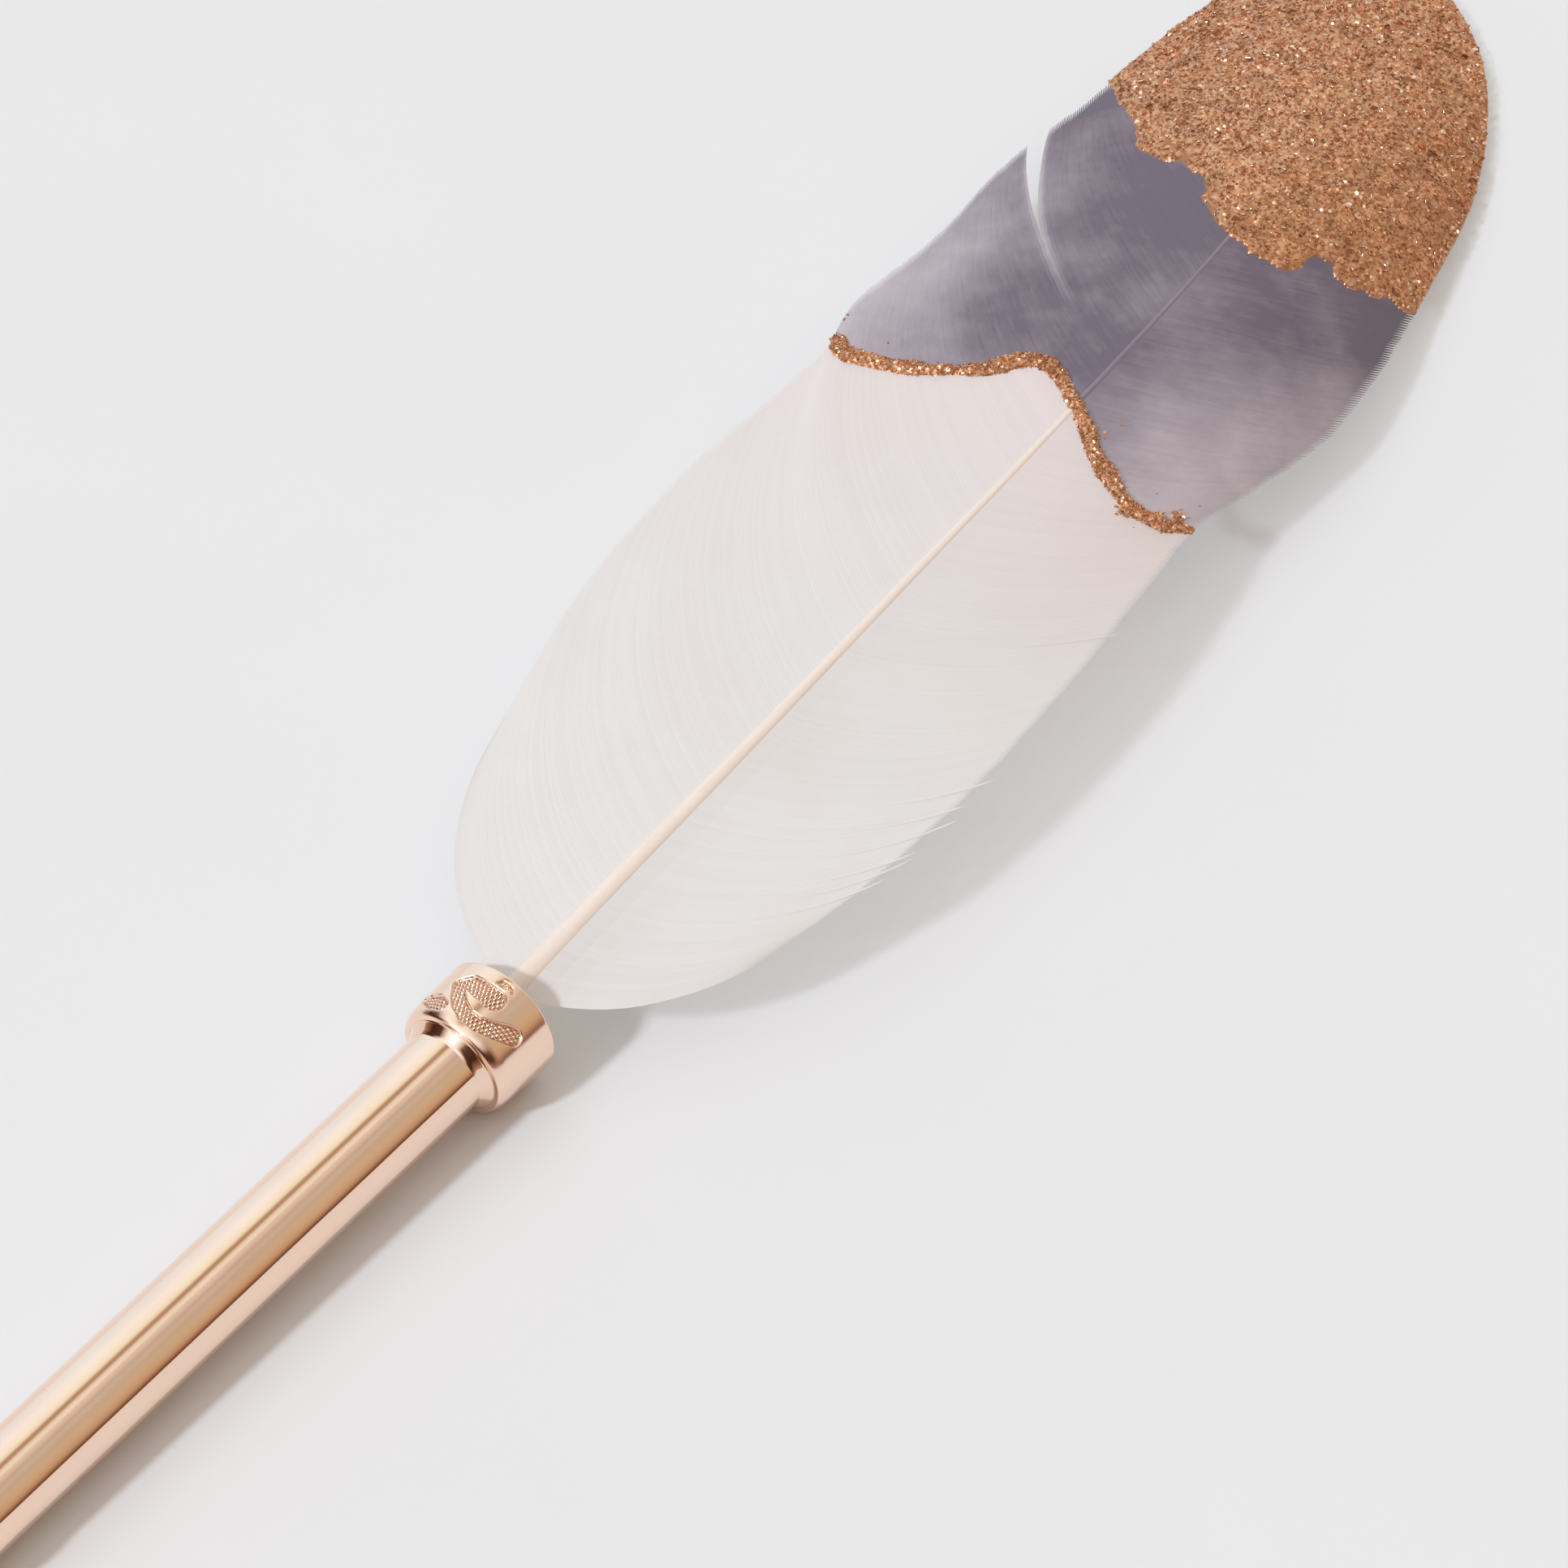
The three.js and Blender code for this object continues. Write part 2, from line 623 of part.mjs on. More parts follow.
// The dipped tip ends in a scalloped line across the feather.
function glitterTip() {
  const scallops = [
    [-42, 138.6],
    [-31.6, 133.8],
    [-27.3, 130.8],
    [-23.4, 127.6],
    [-19.8, 124.1],
    [-12.4, 123.5],
    [-8.4, 119.6],
    [-1.3, 117.9],
    [0.5, 123.5],
    [3.2, 122],
    [9.9, 127.7],
    [22, 130.6],
  ];
  const beyond = [[22, 180], [-42, 180]];
  return geometryOf(crust().intersect(overOutline([...scallops, ...beyond].map(drawn))));
}

// The plug is cast round the quill, so its hole is the quill's own shape a little enlarged.
function quillPlug() {
  const disc = turned([
    [0, PLUG_FRONT],
    [COLLAR_CUP_R - PRESS, PLUG_FRONT],
    [COLLAR_CUP_R - PRESS, PLUG_REAR],
    [0, PLUG_REAR],
  ]);
  return geometryOf(solid(disc).subtract(solid(quillShaft(PRESS))));
}

// ---- The pen, laid on a table ------------------------------------------------------------------
const PIECES = [
  ["upper_barrel", upperBarrel, ROSE_GOLD],
  ["front_bush", frontBush, NYLON],
  ["cam_sleeve", camSleeve, NYLON],
  ["neck_ring", neckRing, ROSE_GOLD],
  ["collar", collar, ROSE_GOLD],
  ["quill_plug", quillPlug, NYLON],
  ["quill_shaft", quillShaft, HORN],
  ["left_vane", leftVane, FEATHER],
  ["right_vane", rightVane, FEATHER],
  ["glitter_line", glitterLine, GLITTER],
  ["glitter_tip", glitterTip, GLITTER],
  ["mechanism_housing", mechanismHousing, BRASS],
  ["centre_ring", centreRing, ROSE_GOLD],
  ["retaining_ring", retainingRing, BRASS],
  ["lower_barrel", lowerBarrel, ROSE_GOLD],
  ["nose_cone", noseCone, ROSE_GOLD],
  ["thread_insert", threadInsert, BRASS],
  ["shuttle", shuttle, NYLON],
  ["refill_tube", refillTube, BRASS],
  ["refill_tip", refillTip, BRASS],
  ["ink_column", inkColumn, INK],
  ["grease_follower", greaseFollower, GREASE],
  ["writing_ball", ball, STEEL],
];

const pen = new THREE.Group();
for (const [name, make, look] of PIECES) {
  const mesh = new THREE.Mesh(make(), new THREE.MeshStandardMaterial(look));
  mesh.name = name;
  pen.add(mesh);
}

// The pen leans nose down by the angle at which its collar and the front of its barrel both touch the
// table, and the middle of its box stands over the origin.
pen.rotation.x = Math.atan((COLLAR_REAR_R - BARREL_R) / (COLLAR_WIDEST - LOWER_FRONT));
const table = new THREE.Group();
table.add(pen);
const box = new THREE.Box3().setFromObject(table, true);
pen.position.set(-(box.min.x + box.max.x) / 2, -(box.min.y + box.max.y) / 2, -box.min.z);

export default table;
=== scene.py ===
"""A feather pen with a rose-gold twist barrel, lying on a pale table.

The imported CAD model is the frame. The turned metal, the carved collar and the feather are drawn here
as surfaces of two parameters; the mechanism inside keeps its CAD solids and gets its finishes.
"""

import json
import math

import bpy
import numpy as np
from mathutils import Matrix, Vector


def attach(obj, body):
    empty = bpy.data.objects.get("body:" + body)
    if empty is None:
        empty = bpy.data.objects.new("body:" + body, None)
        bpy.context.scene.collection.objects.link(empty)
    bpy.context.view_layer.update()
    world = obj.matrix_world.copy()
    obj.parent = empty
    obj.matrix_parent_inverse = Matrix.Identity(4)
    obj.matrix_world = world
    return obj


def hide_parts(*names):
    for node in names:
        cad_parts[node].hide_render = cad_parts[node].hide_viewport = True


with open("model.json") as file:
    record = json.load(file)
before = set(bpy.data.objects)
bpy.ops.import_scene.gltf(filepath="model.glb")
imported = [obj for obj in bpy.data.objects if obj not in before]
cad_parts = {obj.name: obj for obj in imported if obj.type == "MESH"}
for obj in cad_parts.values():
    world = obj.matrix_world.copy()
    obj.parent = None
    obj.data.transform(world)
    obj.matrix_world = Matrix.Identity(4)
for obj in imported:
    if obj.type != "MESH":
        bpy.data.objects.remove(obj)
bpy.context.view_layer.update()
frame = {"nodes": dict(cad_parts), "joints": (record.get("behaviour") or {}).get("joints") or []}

MM = 0.001
TURN = 2 * math.pi

# ---- The pen's own axes: x to the right, y along the pen to the feather, z up ----
JOINTS = {joint["name"]: joint for joint in frame["joints"]}
TWIST = JOINTS["twist"]
COLLAR_FRONT = np.array(TWIST["pos_m"], float)
ALONG = np.array(TWIST["axis"], float) / np.linalg.norm(TWIST["axis"])
RIGHT = np.array([1.0, 0.0, 0.0])
PEN_AXES = np.stack([RIGHT, ALONG, np.cross(RIGHT, ALONG)])


def on_table(points):
    """Points in the pen's axes, in millimetres, as points of the frame, in metres."""
    return COLLAR_FRONT + points @ PEN_AXES * MM


def measured(node):
    """A turned node's front and rear stations and its smallest and largest radius, in millimetres."""
    mesh = frame["nodes"][node].data
    corners = np.empty(len(mesh.vertices) * 3)
    mesh.vertices.foreach_get("co", corners)
    pen = (corners.reshape(-1, 3) - COLLAR_FRONT) @ PEN_AXES.T / MM
    radius = np.hypot(pen[:, 0], pen[:, 2])
    return pen[:, 1].min(), pen[:, 1].max(), radius.min(), radius.max()


# ---- Meshes ----
def put(name, data):
    """An object in the scene, made of a mesh, a lamp or a camera."""
    made = bpy.data.objects.new(name, data)
    bpy.context.scene.collection.objects.link(made)
    return made


def unit(vectors):
    """Vectors in the last axis, made one long."""
    return vectors / np.linalg.norm(vectors, axis=-1, keepdims=True)


def solid(name, corners, quads, triangles=(), marks=None, flow=None):
    """Corners (pen's axes, mm) and faces as a closed mesh that faces outwards: where the signed volume,
    the sum of each face's corner triple product, is negative, every face is turned round."""
    placed = on_table(corners)
    quads = np.asarray(quads, np.int32).reshape(-1, 4)
    triangles = np.asarray(triangles, np.int32).reshape(-1, 3)
    fans = np.concatenate([quads[:, [0, 1, 2]], quads[:, [0, 2, 3]], triangles])
    a, b, c = (placed[fans[:, i]] - placed[0] for i in range(3))
    if np.einsum("ij,ij->", a, np.cross(b, c)) < 0:
        quads, triangles = quads[:, ::-1], triangles[:, ::-1]
    loops = np.concatenate([quads.ravel(), triangles.ravel()])
    sizes = np.concatenate([np.full(len(quads), 4), np.full(len(triangles), 3)])
    mesh = bpy.data.meshes.new(name)
    mesh.vertices.add(len(placed))
    mesh.vertices.foreach_set("co", placed.ravel())
    mesh.loops.add(len(loops))
    mesh.loops.foreach_set("vertex_index", loops)
    mesh.polygons.add(len(sizes))
    mesh.polygons.foreach_set("loop_start", np.concatenate([[0], np.cumsum(sizes)[:-1]]))
    mesh.polygons.foreach_set("use_smooth", np.zeros(len(sizes), bool))
    mesh.update(calc_edges=True)
    for label, values in (marks or {}).items():
        mesh.attributes.new(label, "FLOAT", "POINT").data.foreach_set("value", values.ravel())
    if flow is not None:
        mesh.uv_layers.new(name="flow").data.foreach_set("uv", flow.reshape(-1, 2)[loops].ravel())
    return put(name, mesh)


def net(rows, columns, ring=True, loop=False):
    """The quads of a grid of rows x columns points. ring joins the last column to the first, and loop
    the last row to the first."""
    index = np.arange(rows * columns).reshape(rows, columns)
    if ring:
        index = np.concatenate([index, index[:, :1]], 1)
    if loop:
        index = np.concatenate([index, index[:1]], 0)
    return np.stack([index[:-1, :-1], index[:-1, 1:], index[1:, 1:], index[1:, :-1]], -1).reshape(-1, 4)


def round_turn(count):
    """Angles of points evenly round a circle, from 0."""
    return np.linspace(0, TURN, count, endpoint=False)


def copies(faces, count, size):
    """The quads of count bodies that have the same faces and size corners each."""
    return (np.asarray(faces)[None] + (np.arange(count) * size)[:, None, None]).reshape(-1, 4)


def capped(grid):
    """A tube's grid (rows, columns, 3) closed by a point in the middle of each end: corners, quads and
    the triangles of both ends."""
    rows, columns = grid.shape[:2]
    corners = np.concatenate([grid.reshape(-1, 3), grid[0].mean(0)[None], grid[-1].mean(0)[None]])
    rim = np.arange(columns)
    after = np.roll(rim, -1)
    start, end = rows * columns, rows * columns + 1
    last = (rows - 1) * columns
    near = np.stack([after, rim, np.full(columns, start)], 1)
    far = np.stack([rim + last, after + last, np.full(columns, end)], 1)
    return corners, net(rows, columns), np.concatenate([near, far])


def smooth(piece):
    """A piece whose faces are shaded as one smooth skin."""
    piece.data.polygons.foreach_set("use_smooth", np.ones(len(piece.data.polygons), bool))
    return piece


def seated(piece, body, finish, slot, *nodes):
    """A finished piece rides on its body, takes the finish and stands for CAD nodes. The slot is not
    used.
    """
    piece.data.materials.append(finish)
    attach(piece, body)
    if nodes:
        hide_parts(*nodes)


# ---- Numbers that vary smoothly ----
def rise(value, low, high):
    """0 below low, 1 above high, and a smooth step (3x^2 - 2x^3) between."""
    x = np.clip((value - low) / (high - low), 0, 1)
    return x * x * (3 - 2 * x)


def drift(x, y, pitch, seed):
    """Smooth noise from -1 to 1 over a plane: random values on a square lattice of the given pitch,
    blended between its four corners with smooth steps."""
    table = np.random.default_rng(seed).uniform(-1, 1, (256, 256))
    u, v = np.broadcast_arrays(np.asarray(x) / pitch, np.asarray(y) / pitch)
    i, j = np.floor(u).astype(int), np.floor(v).astype(int)
    a, b = rise(u - i, 0, 1), rise(v - j, 0, 1)
    corner = lambda di, dj: table[(i + di) % 256, (j + dj) % 256]
    near = corner(0, 0) * (1 - a) + corner(1, 0) * a
    far = corner(0, 1) * (1 - a) + corner(1, 1) * a
    return near * (1 - b) + far * b


# ---- Materials ----
OPEN = 0.75  # share of the light from elsewhere that each skin of a barb lets on between its barbules
OPEN_SPECKS = 0.9  # the same share for each skin of the glitter


def colour(shade):
    """An sRGB hex colour, such as "FEE0CB", as linear red, green, blue and alpha."""
    parts = [int(shade[i : i + 2], 16) / 255 for i in (0, 2, 4)]
    return [c / 12.92 if c <= 0.04045 else ((c + 0.055) / 1.055) ** 2.4 for c in parts] + [1.0]


def plug(tree, socket, value):
    """Sets a socket, or links the output that feeds it."""
    if isinstance(value, bpy.types.NodeSocket):
        tree.links.new(value, socket)
    else:
        socket.default_value = value


def node(tree, kind, inputs=None, **settings):
    """Adds a node: inputs maps a socket to a value, or to the output that feeds it."""
    made = tree.nodes.new("ShaderNode" + kind)
    for name, value in settings.items():
        setattr(made, name, value)
    for socket, value in (inputs or {}).items():
        plug(tree, made.inputs[socket], value)
    return made


def material(name):
    """An empty material: its tree, and a Principled shader joined to its output."""
    made = bpy.data.materials.new(name)
    made.use_nodes = True
    tree = made.node_tree
    tree.nodes.clear()
    shader = node(tree, "BsdfPrincipled")
    node(tree, "OutputMaterial", {"Surface": shader.outputs[0]})
    return made, tree, shader


def feed(tree, shader, **sockets):
    """Sets or links the shader's sockets. Underscores stand for spaces."""
    for socket, value in sockets.items():
        plug(tree, shader.inputs[socket.replace("_", " ")], value)


def here(tree):
    """The place on the piece, in metres."""
    return node(tree, "TexCoord").outputs["Object"]


def mark(tree, name):
    """The value that the mesh carries under this name."""
    return node(tree, "Attribute", attribute_name=name).outputs["Fac"]


def noise(tree, place, scale=1.0, detail=3.0, rough=0.5, stretch=None):
    """Noise from 0 to 1 with scale lumps per metre, or as many along each axis as stretch says."""
    if stretch:
        place = node(tree, "Mapping", {"Vector": place, "Scale": stretch}).outputs[0]
    inputs = {"Vector": place, "Scale": scale, "Detail": detail, "Roughness": rough}
    return node(tree, "TexNoise", inputs).outputs[0]


def remap(tree, value, start, end, low=0.0, high=1.0):
    """The value's run from start to end as a run from low to high, held beyond both."""
    inputs = {"Value": value, "From Min": start, "From Max": end, "To Min": low, "To Max": high}
    return node(tree, "MapRange", inputs).outputs[0]


def maths(tree, operation, first, second=0.0):
    """One step of arithmetic on one or two values."""
    return node(tree, "Math", {0: first, 1: second}, operation=operation).outputs[0]


def ramp(tree, value, stops):
    """The value as a colour, blended between stops of a place and a colour each."""
    made = node(tree, "ValToRGB", {"Fac": value})
    band = made.color_ramp.elements
    for i, (place, shade) in enumerate(stops):
        stop = band[i] if i < 2 else band.new(place)
        stop.position, stop.color = place, shade
    return made.outputs[0]


def tones(tree, value, dark, light, spread=0.2):
    """From one colour to another as the value crosses the middle of its range."""
    return ramp(tree, value, [(0.5 - spread, colour(dark)), (0.5 + spread, colour(light))])


def blend(tree, share, under, over):
    """One colour over another, by a share from 0 to 1."""
    return node(tree, "Mix", {0: share, 6: under, 7: over}, data_type="RGBA").outputs[2]


def lit(tree, tone, value):
    """A colour with its brightness multiplied."""
    return node(tree, "HueSaturation", {"Color": tone, "Value": value}).outputs[0]


def bump(tree, height, strength, distance):
    """The normal of a skin that is raised by a height from 0 to 1, over a distance in metres."""
    return node(tree, "Bump", {"Height": height, "Strength": strength, "Distance": distance}).outputs[0]


def let_through(tree, shader, open_share=OPEN):
    """Lets a share of the light from elsewhere pass between barbules or specks, while an eye sees a
    closed surface."""
    ray = node(tree, "LightPath").outputs
    passing = maths(tree, "MAXIMUM", ray["Is Shadow Ray"], ray["Is Diffuse Ray"])
    gaps = maths(tree, "MULTIPLY", passing, open_share)
    through = node(tree, "BsdfTransparent").outputs[0]
    both = node(tree, "MixShader", {0: gaps, 1: shader.outputs[0], 2: through})
    tree.links.new(both.outputs[0], tree.get_output_node("ALL").inputs["Surface"])


def rose_gold(name, low, high, hollows=False):
    """Rose gold plate: a flash of copper-rich gold over polished brass. The eye sees a pale pink mirror
    with faint hairlines along the pen from its last polish, each about 0.15 mm wide. Where it is
    carved, painted shade darkens the hollows between the pebbles towards a copper brown."""
    made, tree, shader = material(name)
    place = here(tree)
    hairline = noise(tree, place, stretch=(6500, 60, 6500))
    tone = tones(tree, noise(tree, place, 180.0, 2.0), "FDDFCA", "FEE2CE")
    if hollows:
        # painted shade: the hollows between the pebbles are darkened towards copper brown
        painted_hollow_shade = remap(tree, mark(tree, "hollow"), 0.4, 1.0, 0.0, 0.85)
        tone = blend(tree, painted_hollow_shade, tone, colour("CC8855"))
    feed(tree, shader, Metallic=1.0, Base_Color=tone, Roughness=remap(tree, hairline, 0, 1, low, high),
         Normal=bump(tree, hairline, 0.02, 0.00002))
    return made


def plain_metal(name, dark, light, low, high, grain):
    """Bare turned metal: fine rings from the cutting tool run round the piece, grain of them to the
    metre. The eye sees soft bands of light across a satin surface."""
    made, tree, shader = material(name)
    cut = noise(tree, here(tree), detail=2.0, stretch=(40, grain, 40))
    feed(tree, shader, Metallic=1.0, Base_Color=tones(tree, cut, dark, light, 0.15),
         Roughness=remap(tree, cut, 0, 1, low, high), Normal=bump(tree, cut, 0.12, 0.00003))
    return made


def moulded(name, dark, light, roughness, ior):
    """A moulded or poured piece: even in colour with a slow drift of tone, and a skin whose gloss is
    broken by fine grain."""
    made, tree, shader = material(name)
    grain = noise(tree, here(tree), 400.0)
    feed(tree, shader, Base_Color=tones(tree, grain, dark, light), IOR=ior,
         Roughness=remap(tree, grain, 0, 1, roughness * 0.8, roughness),
         Normal=bump(tree, grain, 0.05, 0.00005))
    return made


def feather_vane():
    """Bleached goose feather, dipped in thin dye: matt barbs side by side. Each barb carries barbules
    0.02 mm apart, too fine to draw, and light slips between them, so that the shade beneath the
    feather stays pale. The dye gathers in cloudy patches, washes out towards the edges and leaves fine
    pale streaks along the barbs; the white has a breath of pink near the dye, and the glue under the
    glitter stains the tip copper brown."""
    made, tree, shader = material("goose_feather_dyed")
    place = here(tree)
    dyed = mark(tree, "dyed_mm")
    cloud = noise(tree, place, 75.0, 4.0, 0.6)
    patch = noise(tree, place, 230.0, 5.0, 0.65)
    streak = noise(tree, node(tree, "UVMap", uv_map="flow").outputs[0], detail=4.0,
                   stretch=(1.6, 0.16, 1.0))
    white = tones(tree, cloud, "E3E0DC", "E1DCD8", 0.15)
    pale = blend(tree, remap(tree, dyed, -34.0, 0.0), white, colour("E4D9D6"))
    share = mark(tree, "wash")
    for uneven, reach in ((cloud, 0.22), (streak, 0.06), (patch, 0.06)):
        share = maths(tree, "ADD", share, remap(tree, uneven, 0.3, 0.7, -reach, reach))
    streaked = blend(tree, share, colour("746A77"), colour("C4B9BF"))
    painted = blend(tree, remap(tree, dyed, -0.3, 0.3), pale, streaked)
    glued = blend(tree, remap(tree, mark(tree, "dipped_mm"), -0.1, 0.3), painted, colour("B07A56"))
    shade = remap(tree, mark(tree, "barb_tone"), 0, 1, 0.972, 1.0)
    feed(tree, shader, Base_Color=lit(tree, glued, shade), Roughness=0.75, IOR=1.45,
         Specular_IOR_Level=0.3, Normal=bump(tree, streak, 0.06, 0.00003))
    let_through(tree, shader)
    return made


def feather_horn():
    """The feather's shaft: keratin, cream and slightly waxy, smooth from growth. Past the glitter line
    the dye has stained it."""
    made, tree, shader = material("goose_quill_horn")
    grain = noise(tree, here(tree), stretch=(3000, 60, 3000))
    cream = tones(tree, grain, "EEDDCD", "F0E3D8")
    stained = tones(tree, grain, "7F7480", "8B8089")
    tone = blend(tree, remap(tree, mark(tree, "dyed_mm"), -0.5, 0.5), cream, stained)
    feed(tree, shader, Base_Color=tone, Roughness=0.45, IOR=1.54,
         Normal=bump(tree, grain, 0.1, 0.00003))
    return made


def patchy(tree, value, *stops):
    """The glitter's tone by each speck's value, made lighter and darker by noise in patches a few
    millimetres apart."""
    tone = ramp(tree, value, [(place, colour(shade)) for place, shade in stops])
    patches = noise(tree, here(tree), 420.0, 2.0)
    return lit(tree, tone, remap(tree, patches, 0.35, 0.65, 0.87, 1.1))


def glitter_finish(name, dark, mid, light, size):
    """Copper glitter in clear glue: metallised film cut into specks about 0.3 mm across. Each speck
    lies at its own angle, so that a few flash and the rest stay brown."""
    made, tree, shader = material(name)
    speck = node(tree, "TexVoronoi", {"Vector": here(tree), "Scale": size}, feature="F1")
    cell = node(tree, "SeparateColor", {"Color": speck.outputs["Color"]}).outputs
    tone = patchy(tree, cell[0], (0, dark), (0.45, mid), (1, light))
    feed(tree, shader, Metallic=0.75, Base_Color=tone, Roughness=remap(tree, cell[1], 0, 1, 0.25, 0.6),
         Normal=bump(tree, cell[2], 0.35, 0.00012))
    let_through(tree, shader, OPEN_SPECKS)
    return made


def flake_finish(name, *shades):
    """The loose top layer of the glitter: single specks of metallised film, bright as foil. Their
    tones run from brown copper to pale gold."""
    made, tree, shader = material(name)
    value = mark(tree, "speck_tone")
    tone = patchy(tree, value, *zip((0, 0.5, 0.9, 1), shades))
    feed(tree, shader, Metallic=0.9, Base_Color=tone, Roughness=remap(tree, value, 0, 1, 0.45, 0.18))
    let_through(tree, shader, OPEN_SPECKS)
    return made


PLATE = rose_gold("rose_gold_plate_polished", 0.03, 0.08)
CAST_PLATE = rose_gold("rose_gold_plate_cast", 0.1, 0.2, hollows=True)
BRASS = plain_metal("brass_turned", "B98F4C", "D3AE68", 0.22, 0.38, 9000)
CARBIDE = plain_metal("tungsten_carbide_ground", "8E9196", "B4B7BC", 0.1, 0.2, 20000)
NYLON = moulded("nylon_moulded", "E2DFD6", "EFECE4", 0.5, 1.53)
INK = moulded("ink_paste", "101018", "1C1C28", 0.25, 1.5)
GREASE = moulded("follower_grease", "CDBB78", "E0D29A", 0.25, 1.47)
VANE = feather_vane()
HORN = feather_horn()
CRUST = glitter_finish("copper_glitter_glued", "B27A56", "CF956D", "E6BA94", 3300.0)
FLAKES = flake_finish("copper_glitter_specks", "BC825C", "D39B72", "E6B58F", "FFEAD6")


# ---- Turned pieces ----
CORNER = 8  # points that softened makes of a corner


def softened(section, edge):
    """A closed section of [radius, station] corners with each corner rounded: a quadratic curve runs
    from one point an edge's length before the corner to one as far after it. A second point farther
    out on each side keeps the flats flat."""
    section = np.array(section, float)
    before, after = np.roll(section, 1, 0) - section, np.roll(section, -1, 0) - section
    reach = [np.linalg.norm(side, axis=1, keepdims=True) for side in (before, after)]
    cut = np.minimum(edge, 0.4 * np.minimum(*reach))
    start, end = section + before / reach[0] * cut, section + after / reach[1] * cut
    s = np.linspace(0, 1, CORNER - 2)[:, None, None]
    arc = (1 - s) ** 2 * start + 2 * s * (1 - s) * section + s**2 * end
    wide = [section + side / size * cut * 1.2 for side, size in ((before, reach[0]), (after, reach[1]))]
    return np.concatenate([wide[0][None], arc, wide[1][None]]).transpose(1, 0, 2).reshape(-1, 2)


def revolved(line, columns):
    """A line of [radius, station] points carried round the pen's axis, as a grid of points."""
    angle = round_turn(columns)
    radius, station = line[:, :1], line[:, 1:]
    return np.stack(np.broadcast_arrays(radius * np.sin(angle), station, radius * np.cos(angle)), -1)


def spun(name, section, columns=160):
    """A piece whose closed section is carried round the pen's axis."""
    grid = revolved(section, columns)
    return smooth(solid(name, grid.reshape(-1, 3), net(len(section), columns, loop=True)))


def rod(name, line, columns):
    """A piece whose open outline is carried round the axis, with both ends closed."""
    return smooth(solid(name, *capped(revolved(line, columns))))


def tube_section(front, rear, inner, outer):
    """A tube's closed section: a rectangle of [radius, station] corners."""
    return [[inner, front], [outer, front], [outer, rear], [inner, rear]]


for cad, ending, body, finish, slot_name, edge in (
    ("upper_barrel", "_tube", "upper_half", PLATE, "rose_gold", 0.12),
    ("lower_barrel", "_tube", "front_half", PLATE, "rose_gold", 0.12),
    ("centre_ring", "_turned", "mechanism", PLATE, "rose_gold", 0.35),
    ("front_bush", "_turned", "upper_half", NYLON, "nylon", 0.1),
    ("retaining_ring", "_turned", "mechanism", BRASS, "bare_brass", 0.1),
    ("thread_insert", "_turned", "front_half", BRASS, "bare_brass", 0.1),
    ("refill_tube", "_drawn", "refill", BRASS, "bare_brass", 0.06),
):
    section = softened(tube_section(*measured(cad)), edge)
    seated(spun(cad + ending, section), body, finish, slot_name, cad)


RING_OUT = 0.5  # how far the ring's rim stands out past the CAD ring's
RING_SUNK = 0.08  # how deep its bore lies in the barrel
RING_EDGE = ((-0.08, -0.12), (-0.04, -0.09), (-0.01, -0.05), (0, 0.03))  # its edge, from its rim


def cone_ring():
    """The neck ring's section: a cone that rises at about 42 degrees from the barrel to the collar's
    face, its foot a short quadratic sweep and its top a fine rounded edge. Its back lies in the
    collar."""
    front, rear, bore, rim = measured("neck_ring")
    foot, heel = np.array([[bore - RING_SUNK / 2, front - 0.05], [bore, front + 0.12]])
    edge = np.array([[rim + RING_OUT + out, station] for out, station in RING_EDGE])
    bend = heel + 0.3 * (edge[0] - heel)
    q = np.linspace(0, 1, 10)[:, None]
    sweep = (1 - q) ** 2 * foot + 2 * q * (1 - q) * heel + q**2 * bend
    cone = bend + np.linspace(0.1, 1, 8)[:, None] * (edge[0] - bend)
    back = [[rim, rear], [bore - RING_SUNK, rear], [bore - RING_SUNK, front]]
    return np.concatenate([sweep, cone, edge[1:], back])


seated(spun("neck_ring_turned", cone_ring(), 240), "upper_half", PLATE, "rose_gold", "neck_ring")

barrel_front, _, _, barrel_r = measured("lower_barrel")
nose_front, nose_rear, hole_r, _ = measured("nose_cone")
tube_front, _, tube_bore, tube_r = measured("refill_tube")
_, tip_tail, _, _ = measured("refill_tip")
ball_front, ball_rear, _, ball_r = measured("writing_ball")
ball_centre = (ball_front + ball_rear) / 2
TRAVEL = JOINTS["refill_travel"]["range_m"][1] / MM
TIP_WALL = 0.45
GUIDE = 0.15  # gap round the refill's tip in the nose
SHOULDER = 0.4
SPIGOT_IN = 0.43  # how much smaller the nose's spigot is than the barrel
SEAT = 0.05  # gap between faces that rest on each other


def nose_section():
    """The nose outside is a quadratic curve from the writing end to the barrel; inside, its guide hole
    opens in a cone towards the spigot that is pressed into the barrel."""
    hole_rear = tube_front - SHOULDER - TRAVEL - GUIDE
    tip_r = hole_r + TIP_WALL
    face = barrel_front - SEAT
    s = np.linspace(0, 1, 40)[:, None]
    bend = np.array([tip_r + 0.7 * (barrel_r - tip_r), nose_front + 0.42 * (barrel_front - nose_front)])
    outside = (1 - s) ** 2 * [tip_r, nose_front] + 2 * s * (1 - s) * bend + s**2 * [barrel_r, face]
    spigot = barrel_r - SPIGOT_IN
    inside = [
        [spigot, face],
        [spigot, nose_rear],
        [spigot - 0.5, nose_rear],
        [tube_r + 2 * GUIDE, hole_rear + 3],
        [tube_r + GUIDE, hole_rear],
        [hole_r, hole_rear],
        [hole_r, nose_front],
    ]
    return np.concatenate([outside, inside])


seated(spun("nose_cone_turned", softened(nose_section(), 0.12), 128), "front_half", PLATE, "rose_gold",
       "nose_cone")


